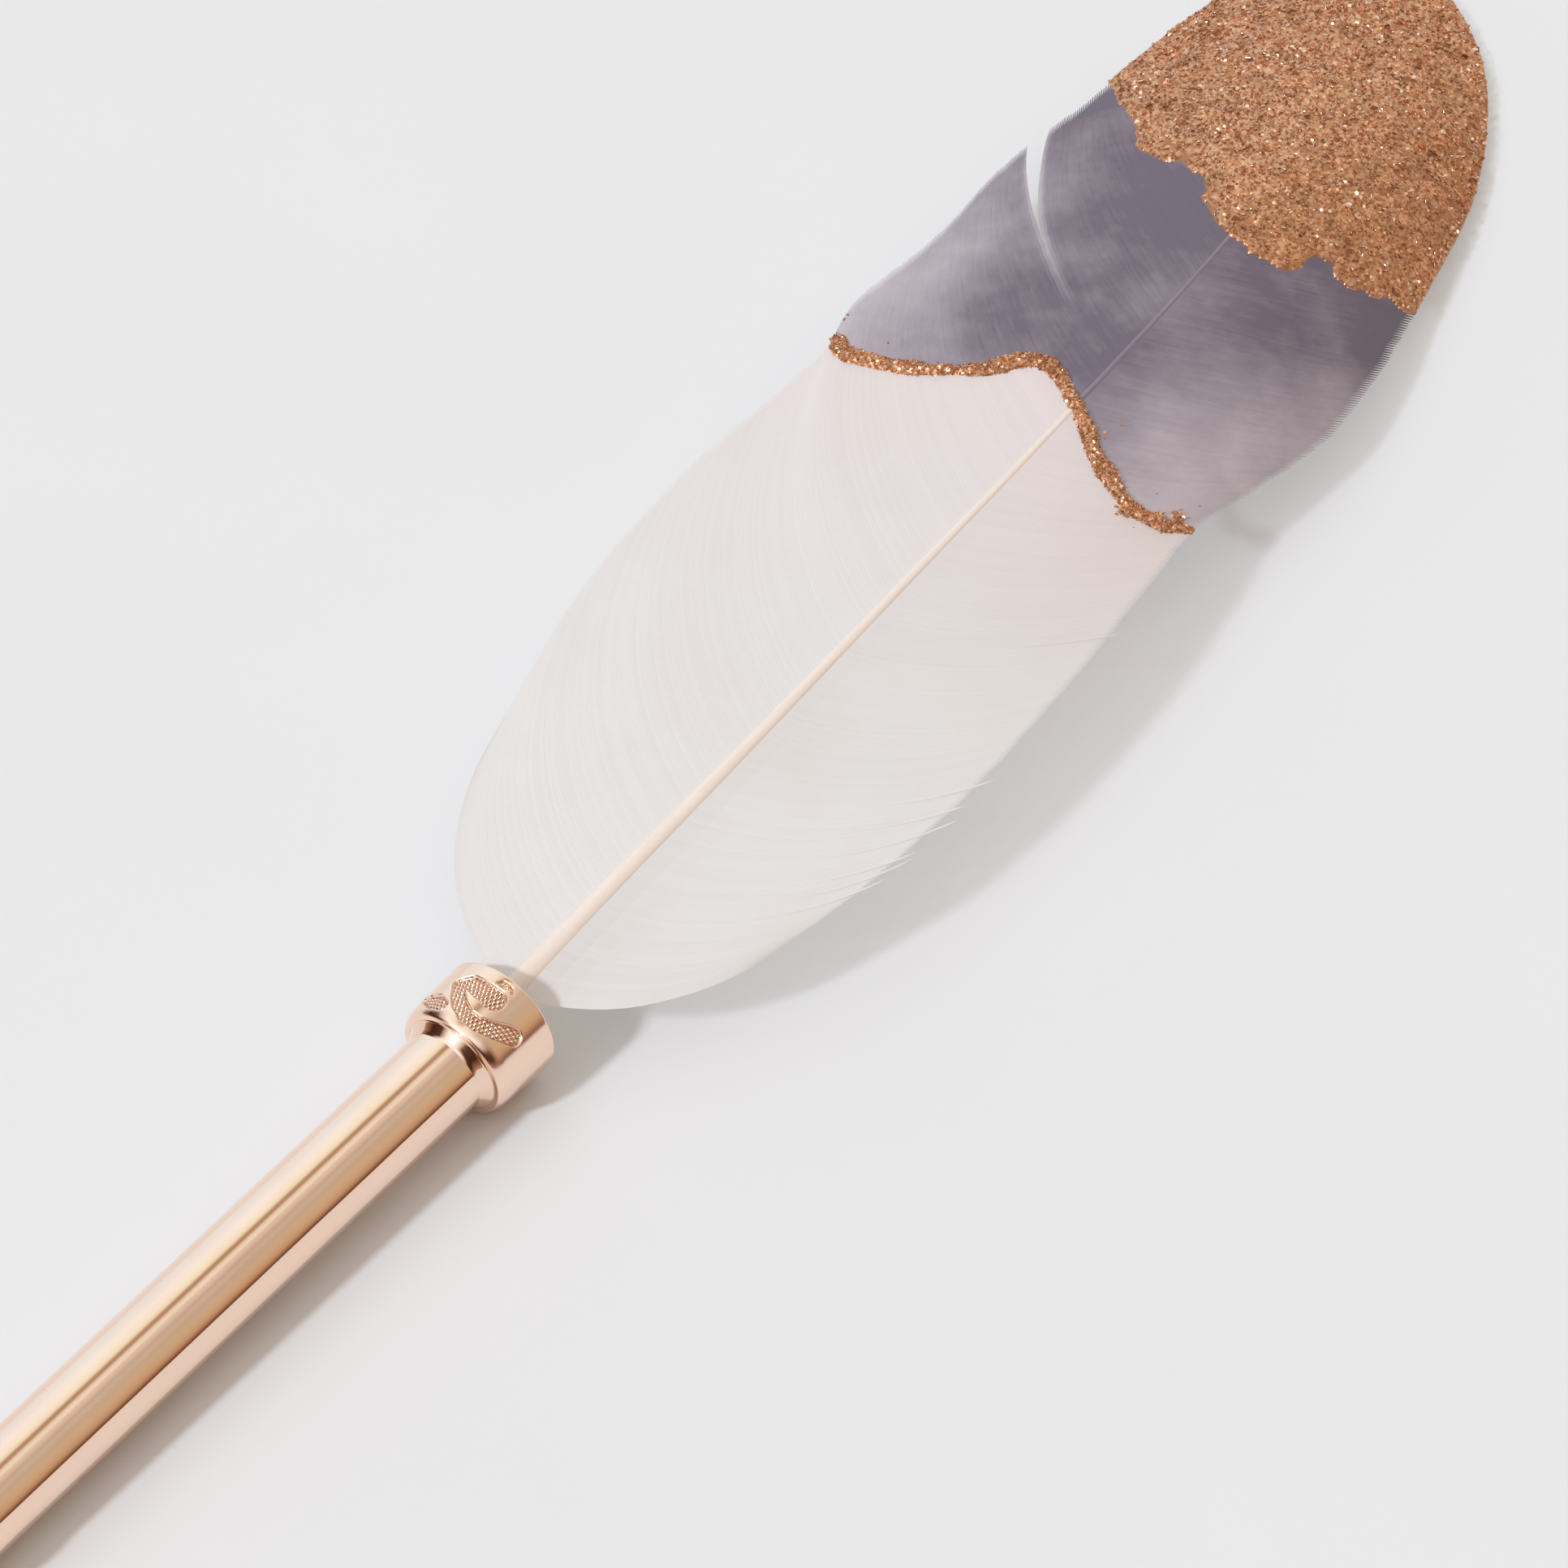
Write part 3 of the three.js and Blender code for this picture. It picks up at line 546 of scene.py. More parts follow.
def tip_line():
    """The refill's tip outside: a lip round the ball, a cone, the neck, the shoulder against the tube
    and the tail inside it. The socket follows the ball with a clearance of 0.04 mm."""
    socket = ball_r + 0.04
    turn = np.linspace(math.pi / 2 - 0.05, 0.8 - math.pi / 2, 12)
    cup = np.stack([socket * np.cos(turn), ball_centre + socket * np.sin(turn)], 1)
    neck = hole_r - GUIDE
    cone = 1.75
    tail = tube_bore - 0.03
    body = [
        [cup[-1, 0] + 0.06, cup[-1, 1]],
        [neck * 0.72, ball_centre + cone * 0.62],
        [neck, ball_centre + cone],
        [neck, tube_front - SHOULDER],
        [tube_r, tube_front - 0.75 * SHOULDER],
        [tube_r, tube_front - SEAT],
        [tail, tube_front - SEAT],
        [tail, tip_tail],
    ]
    whole = np.concatenate([[[0, cup[0, 1]]], cup, body, [[0, tip_tail]]])
    return softened(whole, 0.04)[CORNER:-CORNER]


seated(rod("refill_tip_turned", tip_line(), 64), "refill", BRASS, "bare_brass", "refill_tip")
polar = np.linspace(0.06, math.pi - 0.06, 30)
ball_line = np.stack([np.sin(polar), -np.cos(polar)], 1) * ball_r + [0, ball_centre]
seated(rod("writing_ball_ground", ball_line, 48), "ball", CARBIDE, "ball_steel", "writing_ball")
for cad, finish, slot_name in (
    ("ink_column", INK, "ink"), ("grease_follower", GREASE, "grease"),
):
    front, rear, _, outer = measured(cad)
    outline = softened([[0, front], [outer, front], [outer, rear], [0, rear]], 0.2)
    seated(rod(cad + "_filled", outline[CORNER:-CORNER], 96), "refill", finish, slot_name, cad)

for cad, finish in (
    ("cam_sleeve", NYLON), ("shuttle", NYLON), ("quill_plug", NYLON), ("mechanism_housing", BRASS),
):
    for held in frame["nodes"][cad].material_slots:
        held.material = finish

# ---- The carved collar ----
# The scroll is sunk into the collar twice round it. Each stroke is a row of (turn in degrees,
# station, half width) points: two arms that meet like the sides of a heart, a leaf and a small curl.
SCROLL = (
    [(-16, 3.1, 0.72), (-6, 2.2, 0.75), (6, 1.65, 0.75), (20, 1.7, 0.8), (33, 2.35, 0.85),
     (44, 3.15, 0.9), (50, 3.55, 0.85)],
    [(-16, 3.1, 0.72), (-25, 4.35, 0.75), (-15, 4.9, 0.86), (0, 4.72, 1.08), (13, 4.65, 1.22)],
    [(-52, 2.0, 0.25), (-42, 1.85, 0.65), (-31, 1.65, 0.95), (-21, 1.45, 0.65)],
    [(5, 6.2, 0.1), (8, 6.55, 0.2), (13, 6.65, 0.17), (18, 6.5, 0.2), (22, 6.2, 0.08)],
)
REPEAT = 180.0
FIRST_TURN = -80.0
COLLAR_COLUMNS = 560
COLLAR_FIT = 0.03  # gap round the barrel, the neck ring and the plug
COLLAR_FLARE = 0.2
COLLAR_EDGE = 0.35
LIP = 0.5
SHOULDER_LONG = 1.7
SUNK = 0.34
PEBBLE = 0.47
PEBBLE_RISE = 0.18
PEBBLE_FOOT = 0.48  # a dome's radius in pitches
PEBBLE_ROW = 0.87  # from row to row, in pitches
PEBBLE_STRAY = 0.04


def scroll_distance(turn, station, radius):
    """Distance in millimetres from a point of the collar's skin to the nearest stroke's edge, below 0
    inside it: the distance to the stroke's middle line less its half width there."""
    local = np.mod(turn - FIRST_TURN, REPEAT) + FIRST_TURN
    x = np.radians(local) * radius
    nearest = np.full(x.shape, 9.0)
    for stroke in SCROLL:
        points = np.array(stroke) * [math.radians(1) * radius, 1, 1]
        for (x0, y0, w0), (x1, y1, w1) in zip(points[:-1], points[1:]):
            dx, dy = x1 - x0, y1 - y0
            s = np.clip(((x - x0) * dx + (station - y0) * dy) / (dx * dx + dy * dy), 0, 1)
            gap = np.hypot(x - x0 - s * dx, station - y0 - s * dy) - (w0 + s * (w1 - w0))
            nearest = np.minimum(nearest, gap)
    return nearest


def pebbles(x, y, girth):
    """Domes on a lattice of triangles, with a whole number of them round the collar: 1 in a dome's
    middle, 0 at its foot."""
    pitch = girth / round(girth / PEBBLE)
    row = PEBBLE * PEBBLE_ROW
    x = x + PEBBLE_STRAY * drift(x, y, 0.5, 11)
    y = y + PEBBLE_STRAY * drift(x, y, 0.5, 12)
    squares = []
    for shift in (0, 0.5):
        u, v = x / pitch - shift, y / (2 * row) - shift
        squares.append(((u - np.round(u)) * pitch) ** 2 + ((v - np.round(v)) * 2 * row) ** 2)
    return np.clip(1 - np.minimum(*squares) / (PEBBLE_FOOT * PEBBLE) ** 2, 0, 1)


def drop(edge, inset):
    """How far a rounded edge of this radius falls below its flat, so far past where the flat ends."""
    return edge - np.sqrt(np.maximum(edge**2 - np.maximum(inset, 0) ** 2, 0))


def carved_collar():
    """The collar's closed section carried round the axis. The radius of its outer rows, a shallow cone
    with rounded ends, is lowered by the scroll's depth, which steps down inside each stroke, and
    raised again by the pebbles on the stroke's floor."""
    front, rear, web, rim = measured("collar")
    _, socket, _, barrel = measured("upper_barrel")
    _, seat, _, ring = measured("neck_ring")
    plug_front, _, _, plug_r = measured("quill_plug")
    bore, recess, cup = barrel + COLLAR_FIT, ring + COLLAR_FIT, plug_r + COLLAR_FIT
    flat_front, flat_rear = front + SHOULDER_LONG, rear - COLLAR_EDGE
    lip, edge = np.linspace(0, math.pi / 2, 34), np.linspace(0, math.pi / 2, 8)[1:]
    station = np.concatenate([front + SHOULDER_LONG * (1 - np.cos(lip)),
                              np.linspace(flat_front, flat_rear, 104)[1:],
                              rear - COLLAR_EDGE * (1 - np.sin(edge))])
    base = rim - COLLAR_FLARE * (rear - station) / (rear - front)
    base -= drop(LIP, (flat_front - station) * LIP / SHOULDER_LONG)
    base -= drop(COLLAR_EDGE, station - flat_rear)
    turns, stations = np.meshgrid(np.linspace(0, 360, COLLAR_COLUMNS, endpoint=False), station)
    distance = scroll_distance(turns, stations, rim)
    girth = TURN * rim
    floor = rise(-distance, -0.06, 0.14)
    dome = pebbles(turns / 360 * girth, stations, girth) * rise(-distance, 0.08, 0.24)
    radius = base[:, None] - SUNK * floor + PEBBLE_RISE * dome
    angle = np.radians(turns)
    outer = np.stack([radius * np.sin(angle), stations, radius * np.cos(angle)], -1)
    steps = [[cup, rear], [cup, plug_front - SEAT], [web, plug_front - SEAT], [web, socket + SEAT],
             [bore, socket + SEAT], [bore, seat + SEAT], [recess, seat + SEAT], [recess, front]]
    inner = softened(steps, 0.08).reshape(len(steps), CORNER, 2)[:, [0, 1, -2, -1]].reshape(-1, 2)
    grid = np.concatenate([outer, revolved(inner, COLLAR_COLUMNS)])
    hollow = np.zeros(grid.shape[:2])
    # the hollow mark: the cast plate paints shade into the floor between the pebbles by it
    hollow[: len(station)] = floor * (1 - dome)
    quads = net(*grid.shape[:2], loop=True)
    return smooth(solid("collar_carved", grid.reshape(-1, 3), quads, marks={"hollow": hollow}))


seated(carved_collar(), "upper_half", CAST_PLATE, "rose_gold", "collar")

# ---- The feather's lines ----
MOUTH = np.array([0, measured("collar")[1], 0])
QUILL_R = 1.3
SHAFT_TIP_R = 0.16
SHAFT_TAPER = 2.2
QUILL_INSET = 7.0
FIRST_BARB = 1.0


class Line:
    """A smooth line through points drawn from the collar's mouth (mm): on each span, the cubic with
    Catmull-Rom slopes, whose parameter grows with the square root of the distance between points."""

    def __init__(self, points, steps=200):
        p = np.array([list(point) + [0] * (3 - len(point)) for point in points], float) + MOUTH
        p = np.vstack([2 * p[0] - p[1], p, 2 * p[-1] - p[-2]])
        p0, p1, p2, p3 = p[:-3], p[1:-2], p[2:-1], p[3:]
        pairs = ((p0, p1), (p1, p2), (p2, p3))
        d0, d1, d2 = (np.sqrt(np.linalg.norm(b - a, axis=1))[:, None] for a, b in pairs)
        m1 = ((p1 - p0) / d0 - (p2 - p0) / (d0 + d1) + (p2 - p1) / d1) * d1
        m2 = ((p2 - p1) / d1 - (p3 - p1) / (d1 + d2) + (p3 - p2) / d2) * d1
        s = np.linspace(0, 1, steps, endpoint=False)[:, None]
        p1, p2, m1, m2 = (a[:, None] for a in (p1, p2, m1, m2))
        spans = p1 + m1 * s + (3 * (p2 - p1) - 2 * m1 - m2) * s**2 + (2 * (p1 - p2) + m1 + m2) * s**3
        self.points = np.vstack([spans.reshape(-1, 3), p[-2]])
        steps_long = np.linalg.norm(np.diff(self.points, axis=0), axis=1)
        self.run = np.concatenate([[0], np.cumsum(steps_long)])
        self.length = self.run[-1]

    def at(self, share):
        """The point at a share of the line's length."""
        place = np.asarray(share) * self.length
        return np.stack([np.interp(place, self.run, self.points[:, i]) for i in range(3)], -1)


SHAFT_LINE = Line([(0, -7, 1), (0, 1, 1.9), (0.1, 15.6, 3.6), (0.2, 31.6, 5.1), (-0.7, 57.6, 5.9),
                   (-2.3, 86.6, 5.7), (-6.3, 120.6, 3.2), (-14.3, 147.4, -2.4), (-22.1, 163.8, -6.2)])
LEFT_EDGE = Line([(-20.8, 22.4, 2), (-27, 44.6, 1.7), (-29.2, 64.6, 1), (-29, 82.6, 0.5),
                  (-30.9, 89.6, 0.1), (-31, 102.6, -1.1), (-32.6, 115.6, -2.5), (-32.7, 129.6, -4.4),
                  (-33.8, 146.6, -7.7), (-32, 158.1, -8.3), (-27.8, 165.2, -8.3), (-22.6, 168.4, -8)])
RIGHT_EDGE = Line([(15.8, 17.8, 2.5), (18.4, 28.6, 4.2), (19.3, 42.6, 4.7), (18.2, 59.6, 4.3),
                   (16, 74.6, 3.1), (14.1, 85.1, 1.6), (14.6, 94.6, -0.3), (15.1, 105.1, -2),
                   (12.9, 116.6, -3.6), (9.5, 128, -5.3), (3.7, 145.3, -6.9), (-5.4, 159.3, -7.6),
                   (-14.3, 166, -7.9), (-22, 168.4, -8)])
GLITTER = [(-29, 84.2), (-26, 82.3), (-20, 82.8), (-14, 85.4), (-8.6, 90.4), (-3, 87.8), (3.1, 84),
           (8.6, 81.8), (11.6, 82.5), (14.1, 84.8)]
GLITTER_PATH = Line(GLITTER)
DYE_EDGE = Line([(-45, 88), (-34, 86)] + GLITTER + [(20, 90), (30, 99)])
SCALLOPS = Line([(-42, 138.6), (-31.6, 133.8), (-27.3, 130.8), (-23.4, 127.6), (-19.8, 124.1),
                 (-12.4, 123.5), (-8.4, 119.6), (-1.3, 117.9), (0.5, 123.5), (3.2, 122), (9.9, 127.7),
                 (22, 130.6)])
FIRST_ROOT = (QUILL_INSET + FIRST_BARB) / SHAFT_LINE.length
LEVEL = np.array([0, 0, 1.0])


def shaft_share(t):
    """The place on the shaft's line that is a share t of the way from the lowest barb to the tip."""
    return FIRST_ROOT + (1 - FIRST_ROOT) * t


def shaft_radius(share):
    """The shaft keeps the quill's radius to the first barbs, then thins by a power of what is left."""
    bare = (QUILL_INSET + 2) / SHAFT_LINE.length
    left = np.clip((1 - share) / (1 - bare), 0, 1)
    return SHAFT_TIP_R + (QUILL_R - SHAFT_TIP_R) * left**SHAFT_TAPER


BATCH = 20000


def past(line, points):
    """Signed distance in plan from a line that runs to the right: above 0 on the tip's side."""
    dots = line.at(np.linspace(0, 1, 500))[:, :2]
    away = np.gradient(dots, axis=0)
    flat = points[..., :2].reshape(-1, 2)
    out = np.empty(len(flat))
    for start in range(0, len(flat), BATCH):
        part = flat[start : start + BATCH]
        gaps = ((part[:, None] - dots[None]) ** 2).sum(-1)
        k = gaps.argmin(1)
        side = away[k, 0] * (part[:, 1] - dots[k, 1]) - away[k, 1] * (part[:, 0] - dots[k, 0])
        out[start : start + BATCH] = np.sign(side) * np.sqrt(gaps[np.arange(len(k)), k])
    return out.reshape(points.shape[:-1])


LOBES = 26


def dipped(points):
    """How far a point lies inside the glitter of the tip, in plan: the distance past the scalloped
    line, or the depth inside the nearest of the round lobes strung along it, if that is more."""
    dice = np.random.default_rng(5)
    share = np.linspace(0.12, 0.9, LOBES) + dice.uniform(-0.008, 0.008, LOBES)
    lobes = SCALLOPS.at(share)[:, :2] + dice.uniform(-0.3, 0.3, (LOBES, 2))
    sizes = dice.uniform(1.3, 2.1, LOBES)
    inside = past(SCALLOPS, points) - 0.6
    for (x, y), size in zip(lobes, sizes):
        inside = np.maximum(inside, size - np.hypot(points[..., 0] - x, points[..., 1] - y))
    return inside + 0.22 * drift(points[..., 0], points[..., 1], 0.7, 21)


# Each vane's side, edge and the power by which its roots crowd towards its lowest barb.
VANES = {"left": (-1, LEFT_EDGE, 1.4), "right": (1, RIGHT_EDGE, 1.0)}
ROOT_TURN = math.radians(34)
ROOT_IN = 0.06
ROOT_FADE = 0.08
ROOT_HIGH = 0.9
DROOP = 1.6
SHAFT_FLAT = 0.14


def vane_point(which, t, s):
    """A point of a vane, t along the feather from its lowest barb to its tip and s out along a barb.
    The barb is a quadratic Bezier curve in plan from its root on the shaft to its tip on the vane's
    edge, which leaves the shaft steeply, and it droops by a power. Its root lies high on the shaft's
    side, and that height fades by an exponential out along the barb."""
    side, edge, power = VANES[which]
    t, s = np.broadcast_arrays(np.asarray(t, float), np.asarray(s, float))
    share = shaft_share(np.clip(t, 0, 1) ** power)
    root = SHAFT_LINE.at(share)
    radius = shaft_radius(share)
    root[..., 0] += side * (radius * math.cos(ROOT_TURN) - ROOT_IN)
    root[..., 2] += ROOT_HIGH * radius * math.sin(ROOT_TURN) * np.exp(-np.maximum(s, 0) / ROOT_FADE)
    tip = edge.at(t)
    across = 0.75 - 0.15 * t  # the curve's control point, as a share of the way out
    bend = lambda control: 2 * s * (1 - s) * control + s * s
    shares = np.stack([bend(across), bend(1 - across), np.abs(s) ** DROOP], -1)
    return root + (tip - root) * shares


def quill_shaft():
    """A rod along the shaft's line: at each of its points, a circle of the shaft's radius square to
    the line, which grows a little flatter, top and bottom, once it has left the collar."""
    share = np.linspace(0, 1, 360)
    centre = SHAFT_LINE.at(share)
    along = unit(np.gradient(centre, axis=0))
    across = unit(np.cross(along, LEVEL))
    up = np.cross(across, along)
    angle = round_turn(28)[None, :, None]
    radius = shaft_radius(share)[:, None, None]
    flat = 1 - SHAFT_FLAT * rise(share * SHAFT_LINE.length, QUILL_INSET, QUILL_INSET + 5)
    tall = flat[:, None, None] * np.cos(angle) * up[:, None]
    grid = centre[:, None] + radius * (np.sin(angle) * across[:, None] + tall)
    corners, quads, ends = capped(grid)
    return smooth(solid("quill_shaft_grown", corners, quads, ends, {"dyed_mm": past(DYE_EDGE, corners)}))


seated(quill_shaft(), "upper_half", HORN, "horn", "quill_shaft")

# ---- The vanes, barb by barb ----
BARB_STEPS = 15
BARB_WIDTHS = (0.1, 0.9)
BARB_END = 0.22  # share of a barb's width that is left at its end
END_LONG = 1.6
STRAY_WIDTH = 0.16
FLOW_APART = 3.0  # keeps the streaks of neighbouring barbs apart
OVERLAP = 1.35
RIDGE = 0.008
UNDER = 0.03
SPLIT_AT = 0.66
SPLIT_FROM = 0.42
SPLIT_OPEN = 0.013
SPLIT_REACH = 0.035
STREAK = 0.004  # how far the pale streak reaches on both sides of the split
STRAYS = ((0.075, 1.09), (0.09, 1.13), (0.104, 1.07), (0.128, 1.12), (0.15, 1.05), (0.171, 1.08),
          (0.31, 1.04))
STRAY_BOW = np.array([0.3, -1.6, 0.5])
OUT = np.linspace(0, 1, BARB_STEPS)  # the places along a barb
# For each vane, how far the dye has thinned at the glitter line, where the thinning out along a barb
# starts and ends, and what each millimetre past the line takes off.
WASH = {"left": (0.2, 0.2, 0.85, 0.02), "right": (0.32, 0, 0.7, 0.013)}


def washed_out(which, points):
    """How far the dye has thinned, 0 to 1: most near the glitter line, and out along the barbs. On the
    right vane the second part fades between 8 and 30 mm past the line."""
    line, start, end, per_mm = WASH[which]
    depth = past(DYE_EDGE, points)
    thinned = 0.7 * rise(OUT, start, end)
    if which == "right":
        thinned = thinned * (1 - rise(depth, 8, 30))
    return np.clip(line + thinned - per_mm * depth, 0.04, 1)


def barb_lines(which, count):
    """The middle lines of a vane's barbs. Neighbours sway together by smooth noise, barbs end a
    little short of the edge in small tufts, and a split pushes the barbs on its two sides apart by an
    amount that grows towards the edge."""
    dice = np.random.default_rng(31 if which == "left" else 32)
    t = ((np.arange(count) + 0.5) / count)[:, None]
    tuft = 0.006 * (1 + drift(t[:, 0] * 170, 0, 1.9, 33)) + dice.uniform(0, 0.006, count)
    s = OUT * (1 - tuft[:, None])
    t = t + 0.0016 * drift(t * 170, s * 30, 6.0, 34) * s
    if which == "left":
        aside = t - SPLIT_AT
        pushed = np.sign(aside) * np.exp(-np.abs(aside) / SPLIT_REACH)
        t = t + SPLIT_OPEN * rise(s, SPLIT_FROM, 1.15) * pushed
    return vane_point(which, t, s)


def square_to(vectors, along):
    """Vectors less their part along a line."""
    return vectors - (vectors * along).sum(-1, keepdims=True) * along


def barbs(name, which, count):
    """Each barb is a closed strip along its middle line. Its section is a flat diamond that lies in the
    surface through the neighbouring lines, as wide as the gap to them and a third more, with a low
    ridge on top, and it tapers to a fine end."""
    lines = barb_lines(which, count)
    along = unit(np.gradient(lines, axis=1))
    space = np.linalg.norm(square_to(np.diff(lines, axis=0), along[1:]), axis=2)
    pitch = np.minimum(np.vstack([space[:1], space]), np.vstack([space, space[-1:]]))
    width = np.clip(OVERLAP * pitch, *BARB_WIDTHS)
    side = square_to(np.gradient(lines, axis=0), along)
    side *= np.sign((side * np.cross(along, LEVEL)).sum(2))[..., None]
    if which == "right":
        strays = np.stack([vane_point(which, t, np.linspace(0.1, reach, BARB_STEPS))
                           for t, reach in STRAYS])
        lines = np.concatenate([lines, strays + OUT[:, None] ** 5 * STRAY_BOW])
        width = np.concatenate([width, np.full((len(STRAYS), BARB_STEPS), STRAY_WIDTH)])
        along = unit(np.gradient(lines, axis=1))
        side = np.concatenate([side, np.cross(along, LEVEL)[-len(STRAYS):]])
    side = unit(side)
    up = np.cross(side, along)
    run = np.linalg.norm(np.diff(lines, axis=1), axis=2).cumsum(1)
    run = np.concatenate([np.zeros((len(lines), 1)), run], 1)
    width = width * (BARB_END + (1 - BARB_END) * rise(run[:, -1:] - run, 0, END_LONG))
    dice = np.random.default_rng(41)
    lift = dice.uniform(-0.002, 0.002, (len(lines), 1))
    half = width[..., None] / 2
    thin = np.minimum(width / 0.25, 1)[..., None]
    middle = lines + lift[..., None] * LEVEL
    ring = np.stack([middle - side * half, middle + up * RIDGE * thin, middle + side * half,
                     middle - up * UNDER * thin], 2)
    count, steps = ring.shape[:2]
    ends = [[3, 2, 1, 0], [(steps - 1) * 4 + i for i in range(4)]]
    quads = np.concatenate([copies(faces, count, steps * 4) for faces in (net(steps, 4), ends)])
    spread = lambda values: np.repeat(values[..., None], 4, 2)
    tone = spread(np.broadcast_to(dice.uniform(0, 1, (count, 1)), lines.shape[:2]))
    across = half * [-1, 0, 1, 0] + FLOW_APART * np.arange(count)[:, None, None]
    wash = washed_out(which, lines)
    if which == "left":
        beside_split = ((np.arange(count) + 0.5) / count - SPLIT_AT)[:, None]
        wash = wash + 0.5 * np.exp(-((beside_split / STREAK) ** 2)) * rise(OUT, 0.1, 0.5)
    marks = {"dyed_mm": spread(past(DYE_EDGE, lines)), "dipped_mm": spread(dipped(lines)),
             "barb_tone": tone, "wash": spread(wash)}
    flow = np.stack([across, spread(run)], -1)
    return solid(name, ring.reshape(-1, 3), quads, marks=marks, flow=flow)


for which, count in (("left", 390), ("right", 430)):
    vane = which + "_vane"
    seated(barbs(vane + "_barbs", which, count), "upper_half", VANE, "feather", vane)

# ---- The glitter ----
HALF_COLUMNS = 95
CRUST_ROWS = 235
CRUST_FIRST, CRUST_LAST = 0.46, 0.996
GLUE = 0.3
CRUST_SUNK = 0.03  # how far its skin lies in the barbs outside the dipped area
CRUST_UNDER = 0.05
CRUST_BEYOND = 0.3
SPECK_HALF = 0.02  # half of a speck's thickness


def feather_top(first, last, rows, half):
    """The feather's upper surface from edge to edge: a row for each root on the shaft, a column for
    each place along the two barbs that meet there. Returns the points and the shaft's radius."""
    q = np.linspace(first, last, rows)[:, None]
    s = np.linspace(0, 1, half)[None, :]
    left = vane_point("left", q ** (1 / VANES["left"][2]), s[:, ::-1])
    right = vane_point("right", q, s)
    return np.concatenate([left, right], 1), shaft_radius(shaft_share(q))


def slab(name, top, bottom, kept):
    """Two grids of the same size, one above the other, in the cells that are kept. Where a cell's edge
    has no kept neighbour, a wall joins the two grids, so that the body is closed."""
    rows, columns = top.shape[:2]
    quads = net(rows, columns, ring=False)[kept.ravel()]
    edges = np.stack([quads, np.roll(quads, -1, 1)], -1).reshape(-1, 2)
    size = rows * columns
    free = ~np.isin(edges[:, 0] * size + edges[:, 1], edges[:, 1] * size + edges[:, 0])
    start, end = edges[free].T
    walls = np.stack([end, start, start + size, end + size], 1)
    quads = np.concatenate([quads, quads[:, ::-1] + size, walls])
    used, renumbered = np.unique(quads, return_inverse=True)
    corners = np.concatenate([top.reshape(-1, 3), bottom.reshape(-1, 3)])[used]
    return smooth(solid(name, corners, renumbered.reshape(-1, 4)))


def specks(name, centres, normals, sizes, seed, lean=0.45):
    """Loose specks on the feather: each is a thin hexagonal plate at a centre, leaning at random from
    the normal."""
    dice = np.random.default_rng(seed)
    n = len(centres)
    facing = unit(normals + lean * dice.normal(0, 1, (n, 3)))
    first = unit(np.cross(facing, dice.normal(0, 1, (n, 3))))
    second = np.cross(facing, first)
    angle = round_turn(6)[None, :, None]
    rim = sizes[:, None, None] * (np.cos(angle) * first[:, None] + np.sin(angle) * second[:, None])
    half = SPECK_HALF * facing[:, None]
    plates = np.stack([centres[:, None] + rim + half, centres[:, None] + rim - half], 1)
    faces = [[0, 1, 2, 3], [0, 3, 4, 5], [9, 8, 7, 6], [11, 10, 9, 6]]
    faces += [[(i + 1) % 6, i, i + 6, (i + 1) % 6 + 6] for i in range(6)]
    marks = {"speck_tone": np.repeat(dice.uniform(0, 1, n) ** 1.3, 12)}
    strewn = solid(name, plates.reshape(-1, 3), copies(faces, n, 12), marks=marks)
    seated(strewn, "upper_half", FLAKES, "glitter")


def glitter_tip():
    """The crust on the dipped tip: the feather's upper surface, raised inside the scalloped line by
    the glue's thickness and by lumps at three scales, and sunk into the barbs outside it."""
    ground, shaft_r = feather_top(CRUST_FIRST, CRUST_LAST, CRUST_ROWS, HALF_COLUMNS)
    inside = dipped(ground)
    cover = rise(inside, -0.15, 0.45)
    middle = SHAFT_LINE.at(shaft_share(np.linspace(CRUST_FIRST, CRUST_LAST, CRUST_ROWS)))
    beside = np.linalg.norm((ground - middle[:, None])[..., :2], axis=2)
    over_shaft = 0.4 * shaft_r * np.exp(-((beside / 0.6) ** 2))
    x, y = ground[..., 0], ground[..., 1]
    lumps = 0.1 * drift(x, y, 1.6, 51) + 0.09 * drift(x, y, 0.6, 52) + 0.06 * drift(x, y, 0.33, 53)
    height = (GLUE + lumps + over_shaft) * cover - CRUST_SUNK * (1 - cover)
    top, bottom = ground.copy(), ground.copy()
    top[..., 2] += height
    bottom[..., 2] -= CRUST_UNDER
    near = inside > -CRUST_BEYOND
    kept = near[:-1, :-1] & near[1:, :-1] & near[:-1, 1:] & near[1:, 1:]
    seated(slab("glitter_tip_crust", top, bottom, kept), "upper_half", CRUST, "glitter", "glitter_tip")
    return top, inside


def loose_on(name, top, inside, number, sizes, seed, least=0.05):
    """Specks strewn over a surface where it is dipped, more of them where its cells are larger."""
    dice = np.random.default_rng(seed)
    down, over = top[1:, :-1] - top[:-1, :-1], top[:-1, 1:] - top[:-1, :-1]
    cross = np.cross(down, over).reshape(-1, 3)
    area = np.linalg.norm(cross, axis=1)
    chance = area * (inside[:-1, :-1].ravel() > least)
    picked = dice.choice(len(area), number, p=chance / chance.sum())
    a, b = dice.uniform(0, 1, (2, number, 1))
    corner = top[:-1, :-1].reshape(-1, 3)[picked]
    centres = corner + a * down.reshape(-1, 3)[picked] + b * over.reshape(-1, 3)[picked]
    normals = cross[picked] / area[picked][:, None]
    normals *= np.sign(normals[:, 2:])
    centres = centres + normals * dice.uniform(0.0, 0.09, (number, 1))
    specks(name, centres, normals, dice.uniform(*sizes, number), seed + 1)


crust_top, crust_inside = glitter_tip()
loose_on("glitter_tip_specks", crust_top, crust_inside, 9500, (0.12, 0.24), 61)
loose_on("glitter_tip_flakes", crust_top, crust_inside, 260, (0.32, 0.5), 65, 0.3)
SPAN = 25  # points that are evened out together


